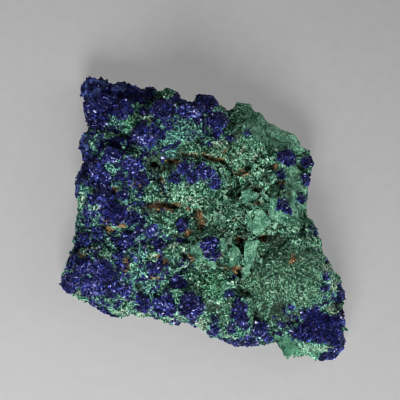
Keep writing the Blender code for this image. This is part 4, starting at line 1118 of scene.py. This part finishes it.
AZURITE_TREE = scatter_tree("azurite_scatter", WEDGES, AZURITE_FINISH)
LEAF_TREE = scatter_tree("leaf_scatter", LEAVES, LEAF_FINISH)
GRAIN_TREE = scatter_tree("grain_scatter", BEADS, LEAF_FINISH)
FLAG_TREE = scatter_tree("flag_scatter", FLAGS, FLAG_FINISH)
RUST_TREE = scatter_tree("rust_scatter", BEADS, LIMONITE_FINISH)
print("one tree has", len(AZURITE_TREE.nodes), "nodes")

# %% [markdown]
# ## Growing a piece
# A piece starts as a copy of the skin with a map of where to grow. The tree covers it, and the result
# is kept as a plain mesh. Nothing may reach below the table.

# %% Scatter crystals on the skin
LOWEST = 0.02  # no crystal reaches lower than this, in millimetres


def scatter(name, tree, share, spacing, size, lean, stretch, seed):
    """Covers the rock's skin where share is above 0. Lengths are in millimetres, lean is in degrees."""
    store(rock.data, "share", share)
    piece = bpy.data.objects.new(name, rock.data.copy())
    bpy.context.scene.collection.objects.link(piece)
    modifier = piece.modifiers.new("scatter", "NODES")
    modifier.node_group = tree
    values = {"Spacing": spacing * MM, "Smallest": size[0] * MM, "Largest": size[1] * MM,
              "Lean": math.radians(lean), "Stretch": stretch, "Seed": seed}
    for socket in tree.interface.items_tree:
        if socket.name in values:
            modifier[socket.identifier] = values[socket.name]
    bake_modifiers(piece)
    points = read_points(piece.data)
    points[:, 2] = np.maximum(points[:, 2], LOWEST)
    write_points(piece.data, points)
    piece.data.shade_flat()
    print(name, "has", triangles(piece.data), "triangles")
    return piece


above = smoothstep(0.6, 1.4, skin[:, 2])
print("nothing grows on", round(100 * (above == 0).mean()), "percent of the skin, near the table")

# %% [markdown]
# ## Azurite crystals
# Stout crystals make a nodule's outline. Two layers of smaller ones cover all of the blue ground, and
# they glitter because no two lean alike.

# %% Set the azurite crystals
rough = above * (1 - 0.85 * smoothstep(0.2, 0.7, maps["slab"]))
core = smoothstep(0.6, 0.95, maps["azurite"]) * rough
thin = smoothstep(0.3, 0.8, maps["azurite"]) * rough * (0.4 + 0.6 * maps["seen"])
azurite_pieces = [
    scatter("azurite_stout", AZURITE_TREE, core,
            spacing=0.55, size=(0.34, 0.55), lean=42, stretch=1.1, seed=1),
    scatter("azurite_crust", AZURITE_TREE, thin,
            spacing=0.33, size=(0.22, 0.38), lean=55, stretch=1.2, seed=2),
    scatter("azurite_druse", AZURITE_TREE, thin,
            spacing=0.33, size=(0.20, 0.34), lean=60, stretch=1.2, seed=9),
]

# %% [markdown]
# ## Malachite leaves and grains
# The green crust is a jumble of small leaves that stand on edge with dark gaps between, and a
# scatter of grains. They catch the light one by one, which gives it its sugary look. Large flags
# crowd in the middle of the face, where the crust has grown into plates.

# %% Set the malachite leaves and grains
green = (1 - smoothstep(0.3, 0.8, maps["azurite"])) * above * (0.4 + 0.6 * maps["seen"])
green = green * (1 - maps["limonite"])
green *= 1 - maps["plate"]
gritty = green * (1 - 0.9 * maps["ridge"])
open_ground = green * maps["facing"] * (1 - 0.9 * maps["shaded_hollow"]) * (1 - 0.95 * maps["ridge"])
open_ground = open_ground * (1 - 0.7 * maps["soil"])
broad = open_ground * (1 - 0.8 * maps["fan"]) * (1 - 0.7 * maps["mixed"])
crowded = open_ground * maps["centre"] * (1 - 0.8 * maps["fan"])
green_pieces = [
    scatter("malachite_leaves", LEAF_TREE, broad,
            spacing=0.56, size=(0.42, 0.80), lean=62, stretch=1.0, seed=5),
    scatter("malachite_leaflets", LEAF_TREE, open_ground,
            spacing=0.38, size=(0.24, 0.44), lean=75, stretch=1.2, seed=6),
    scatter("malachite_grains", GRAIN_TREE, gritty,
            spacing=0.60, size=(0.20, 0.34), lean=70, stretch=1.4, seed=7),
    scatter("malachite_flags", FLAG_TREE, crowded,
            spacing=0.8, size=(0.7, 1.4), lean=55, stretch=0.9, seed=12),
]

# %% [markdown]
# ## Malachite plates
# The plates in the middle have crisp edges and a velvety face. The solid has them already, so each
# one is laid on the solid's own plate: its corners are found on that plate's plane, its edges are
# chipped, and a fine remesh rounds it a little.

# %% Lay the plates
PLATE_GRAIN = 0.085  # size of a plate's quads, in millimetres
PLATE_RISE = 0.07  # how far a plate stands out of the solid's own
PLATE_DEPTH = 1.1
PLATE_TAPER = 0.86  # size of a plate's underside, as a share of its face
CHIP = 0.55  # how far apart chips lie along an edge
CORNER_PUSH = 0.03
CHIP_PUSH = 0.13
faces = [face.vertices for face in SOLID.data.polygons]
SOLID_TREE = BVHTree.FromPolygons([v.co / MM for v in SOLID.data.vertices], faces)


def chipped(corners, dice):
    """The outline with extra corners on long edges, each pushed about a little."""
    ring = []
    for (ax, ay), (bx, by) in zip(corners, corners[1:] + corners[:1]):
        steps = max(1, round(math.hypot(bx - ax, by - ay) / CHIP))
        for step in range(steps):
            push = CORNER_PUSH if step == 0 else CHIP_PUSH
            x, y = ax + (bx - ax) * (step / steps), ay + (by - ay) * (step / steps)
            ring.append((x + dice.uniform(-push, push), y + dice.uniform(-push, push)))
    return ring


def plate_body(bm, corners, dice):
    """Adds the plate with these corners on the sheet to bm, in metres."""
    middle = Vector((*np.mean(corners, axis=0), SHEET_HEIGHT))
    hit, normal, _, _ = SOLID_TREE.ray_cast(EYE, (middle - EYE).normalized())
    face, back = [], []
    for x, y in chipped(corners, dice):
        ray = Vector((x, y, SHEET_HEIGHT)) - EYE
        on_plate = EYE + ray * ((hit - EYE).dot(normal) / ray.dot(normal))
        under = hit + (on_plate - hit) * PLATE_TAPER - normal * PLATE_DEPTH
        face.append(bm.verts.new((on_plate + normal * PLATE_RISE) * MM))
        back.append(bm.verts.new(under * MM))
    bm.faces.new(face)
    bm.faces.new(back[::-1])
    for i in range(len(face)):
        j = (i + 1) % len(face)
        bm.faces.new((face[j], face[i], back[i], back[j]))


dice = random.Random(31)
bm = bmesh.new()
for corners in PLATES:
    plate_body(bm, corners, dice)
bmesh.ops.recalc_face_normals(bm, faces=bm.faces)
stand_in = bpy.data.objects.new("plates_rough", bpy.data.meshes.new("plates_rough"))
bm.to_mesh(stand_in.data)
bm.free()
plates = fine_skin(stand_in, "malachite_plates", PLATE_GRAIN)
bpy.data.objects.remove(stand_in)
points = read_points(plates.data)
velvet = 0.05 * noise_at(points, 0.9) + 0.02 * noise_at(points, 0.3)
write_points(plates.data, points + read_normals(plates.data) * velvet[:, None])
plates.data.materials.clear()
plates.data.materials.append(PLATE_FINISH)
store(plates.data, "soil", mineral_maps(points, read_normals(plates.data))["soil"])
green_pieces.append(plates)
print("plates have", triangles(plates.data), "triangles")

# %% [markdown]
# ## Limonite grains
# Loose grains without any faces fill the seams.

# %% Set the limonite grains
rust_pieces = [
    scatter("limonite_grains", RUST_TREE, maps["limonite"] * above,
            spacing=0.30, size=(0.22, 0.42), lean=70, stretch=1.0, seed=8),
]

# %% [markdown]
# ## Trim the skin
# The crystals needed the full skin to grow on. The skin itself keeps its shape with about half as many
# triangles. Hidden flanks can spare the most, so they are given the most weight.

# %% Trim the skin
ROCK_TRIANGLES = 190000
LEVELS = 10
weight = rock.vertex_groups.new(name="spare")
spare = np.clip(1.05 - 0.9 * maps["seen"], 0, 1)
for level in range(LEVELS + 1):
    chosen = np.flatnonzero(np.round(spare * LEVELS) == level)
    weight.add(chosen.tolist(), level / LEVELS, "REPLACE")
trim = rock.modifiers.new("trim", "DECIMATE")
trim.vertex_group = "spare"
trim.vertex_group_factor = 2.0
trim.ratio = ROCK_TRIANGLES / (2 * len(rock.data.polygons))
print("the skin keeps", round(100 * trim.ratio), "percent of its triangles")
bake_modifiers(rock)
points = read_points(rock.data)
points[:, 2] = np.maximum(points[:, 2], 0)
write_points(rock.data, points)
print("rock has", triangles(rock.data), "triangles")

# %% [markdown]
# ## Riding
# The rock is one rigid body, so every piece rides on it, and the body of the rock stands in for the
# solid.

# %% Hand the pieces over
for piece in azurite_pieces + green_pieces + rust_pieces + [rock]:
    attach(piece, "root")
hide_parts("azurite_on_malachite")
print(len(azurite_pieces + green_pieces + rust_pieces) + 1, "pieces ride on the rock")

# %% [markdown]
# ## The floor
# A pale table that glows faintly, brighter towards the front left: painted light that thins the rock's
# shadow on it and lightens the table on that side.

# %% Lay the floor
FLOOR_REACH = 1.5  # metres
corners = [(x * FLOOR_REACH, y * FLOOR_REACH, 0) for x, y in ((-1, -1), (1, -1), (1, 1), (-1, 1))]
floor_mesh = bpy.data.meshes.new("floor")
floor_mesh.from_pydata(corners, [], [(0, 1, 2, 3)])
floor = bpy.data.objects.new("floor", floor_mesh)
bpy.context.scene.collection.objects.link(floor)
finish, tree, shader, place = new_finish("floor", 0.9, ior=1.45)
paper = ramp(tree, grain(tree, place, 2.0), [(0.3, (0.115,) * 3), (0.7, (0.125,) * 3)])
slope = add(tree, "ShaderNodeVectorMath", {0: place, 1: (-3.0, -5.0, 0)}, operation="DOT_PRODUCT")
height = math_node(tree, "ADD", slope.outputs["Value"], 0.5)
# painted light: the table's glow
glow = ramp(tree, height, [(0.0, (0.098,) * 3), (1.0, (0.398,) * 3)])
tree.links.new(glow, shader.inputs["Emission Color"])
shader.inputs["Emission Strength"].default_value = 1.0
tree.links.new(paper, shader.inputs["Base Color"])
floor_mesh.materials.append(finish)
print("floor of", 2 * FLOOR_REACH, "m")

# %% [markdown]
# ## Light and camera
# A strong soft light from the front, a weaker one from the right, and a long lens that looks down on
# the face.

# %% Set light and camera
def soft_light(name, place, size, power):
    """A square lamp that faces the rock. Place and size are in metres, power is in watts."""
    lamp = bpy.data.lights.new(name, "AREA")
    lamp.size = size
    lamp.energy = power
    holder = bpy.data.objects.new(name, lamp)
    holder.location = place
    holder.rotation_euler = (Vector(place) - AIM * MM).to_track_quat("Z", "Y").to_euler()
    bpy.context.scene.collection.objects.link(holder)


soft_light("key", place=(-0.04, -0.40, 0.38), size=0.22, power=6.1)
soft_light("fill", place=(0.45, 0.0, 0.42), size=0.40, power=2.1)
world = bpy.data.worlds.new("studio")
world.use_nodes = True
sky = world.node_tree.nodes["Background"].inputs
sky["Color"].default_value = (1.0, 1.0, 1.0, 1)
sky["Strength"].default_value = 0.15
bpy.context.scene.world = world

camera_data = bpy.data.cameras.new("camera")
camera_data.lens = 200
camera_data.sensor_width = 36
camera = bpy.data.objects.new("camera", camera_data)
camera.location = EYE * MM
camera.rotation_euler = (EYE - AIM).to_track_quat("Z", "Y").to_euler()
bpy.context.scene.collection.objects.link(camera)
bpy.context.scene.camera = camera
bpy.context.scene.view_settings.view_transform = "Standard"
bpy.context.scene.cycles.filter_width = 0.75
print("the camera is", round((EYE - AIM).length), "mm away")
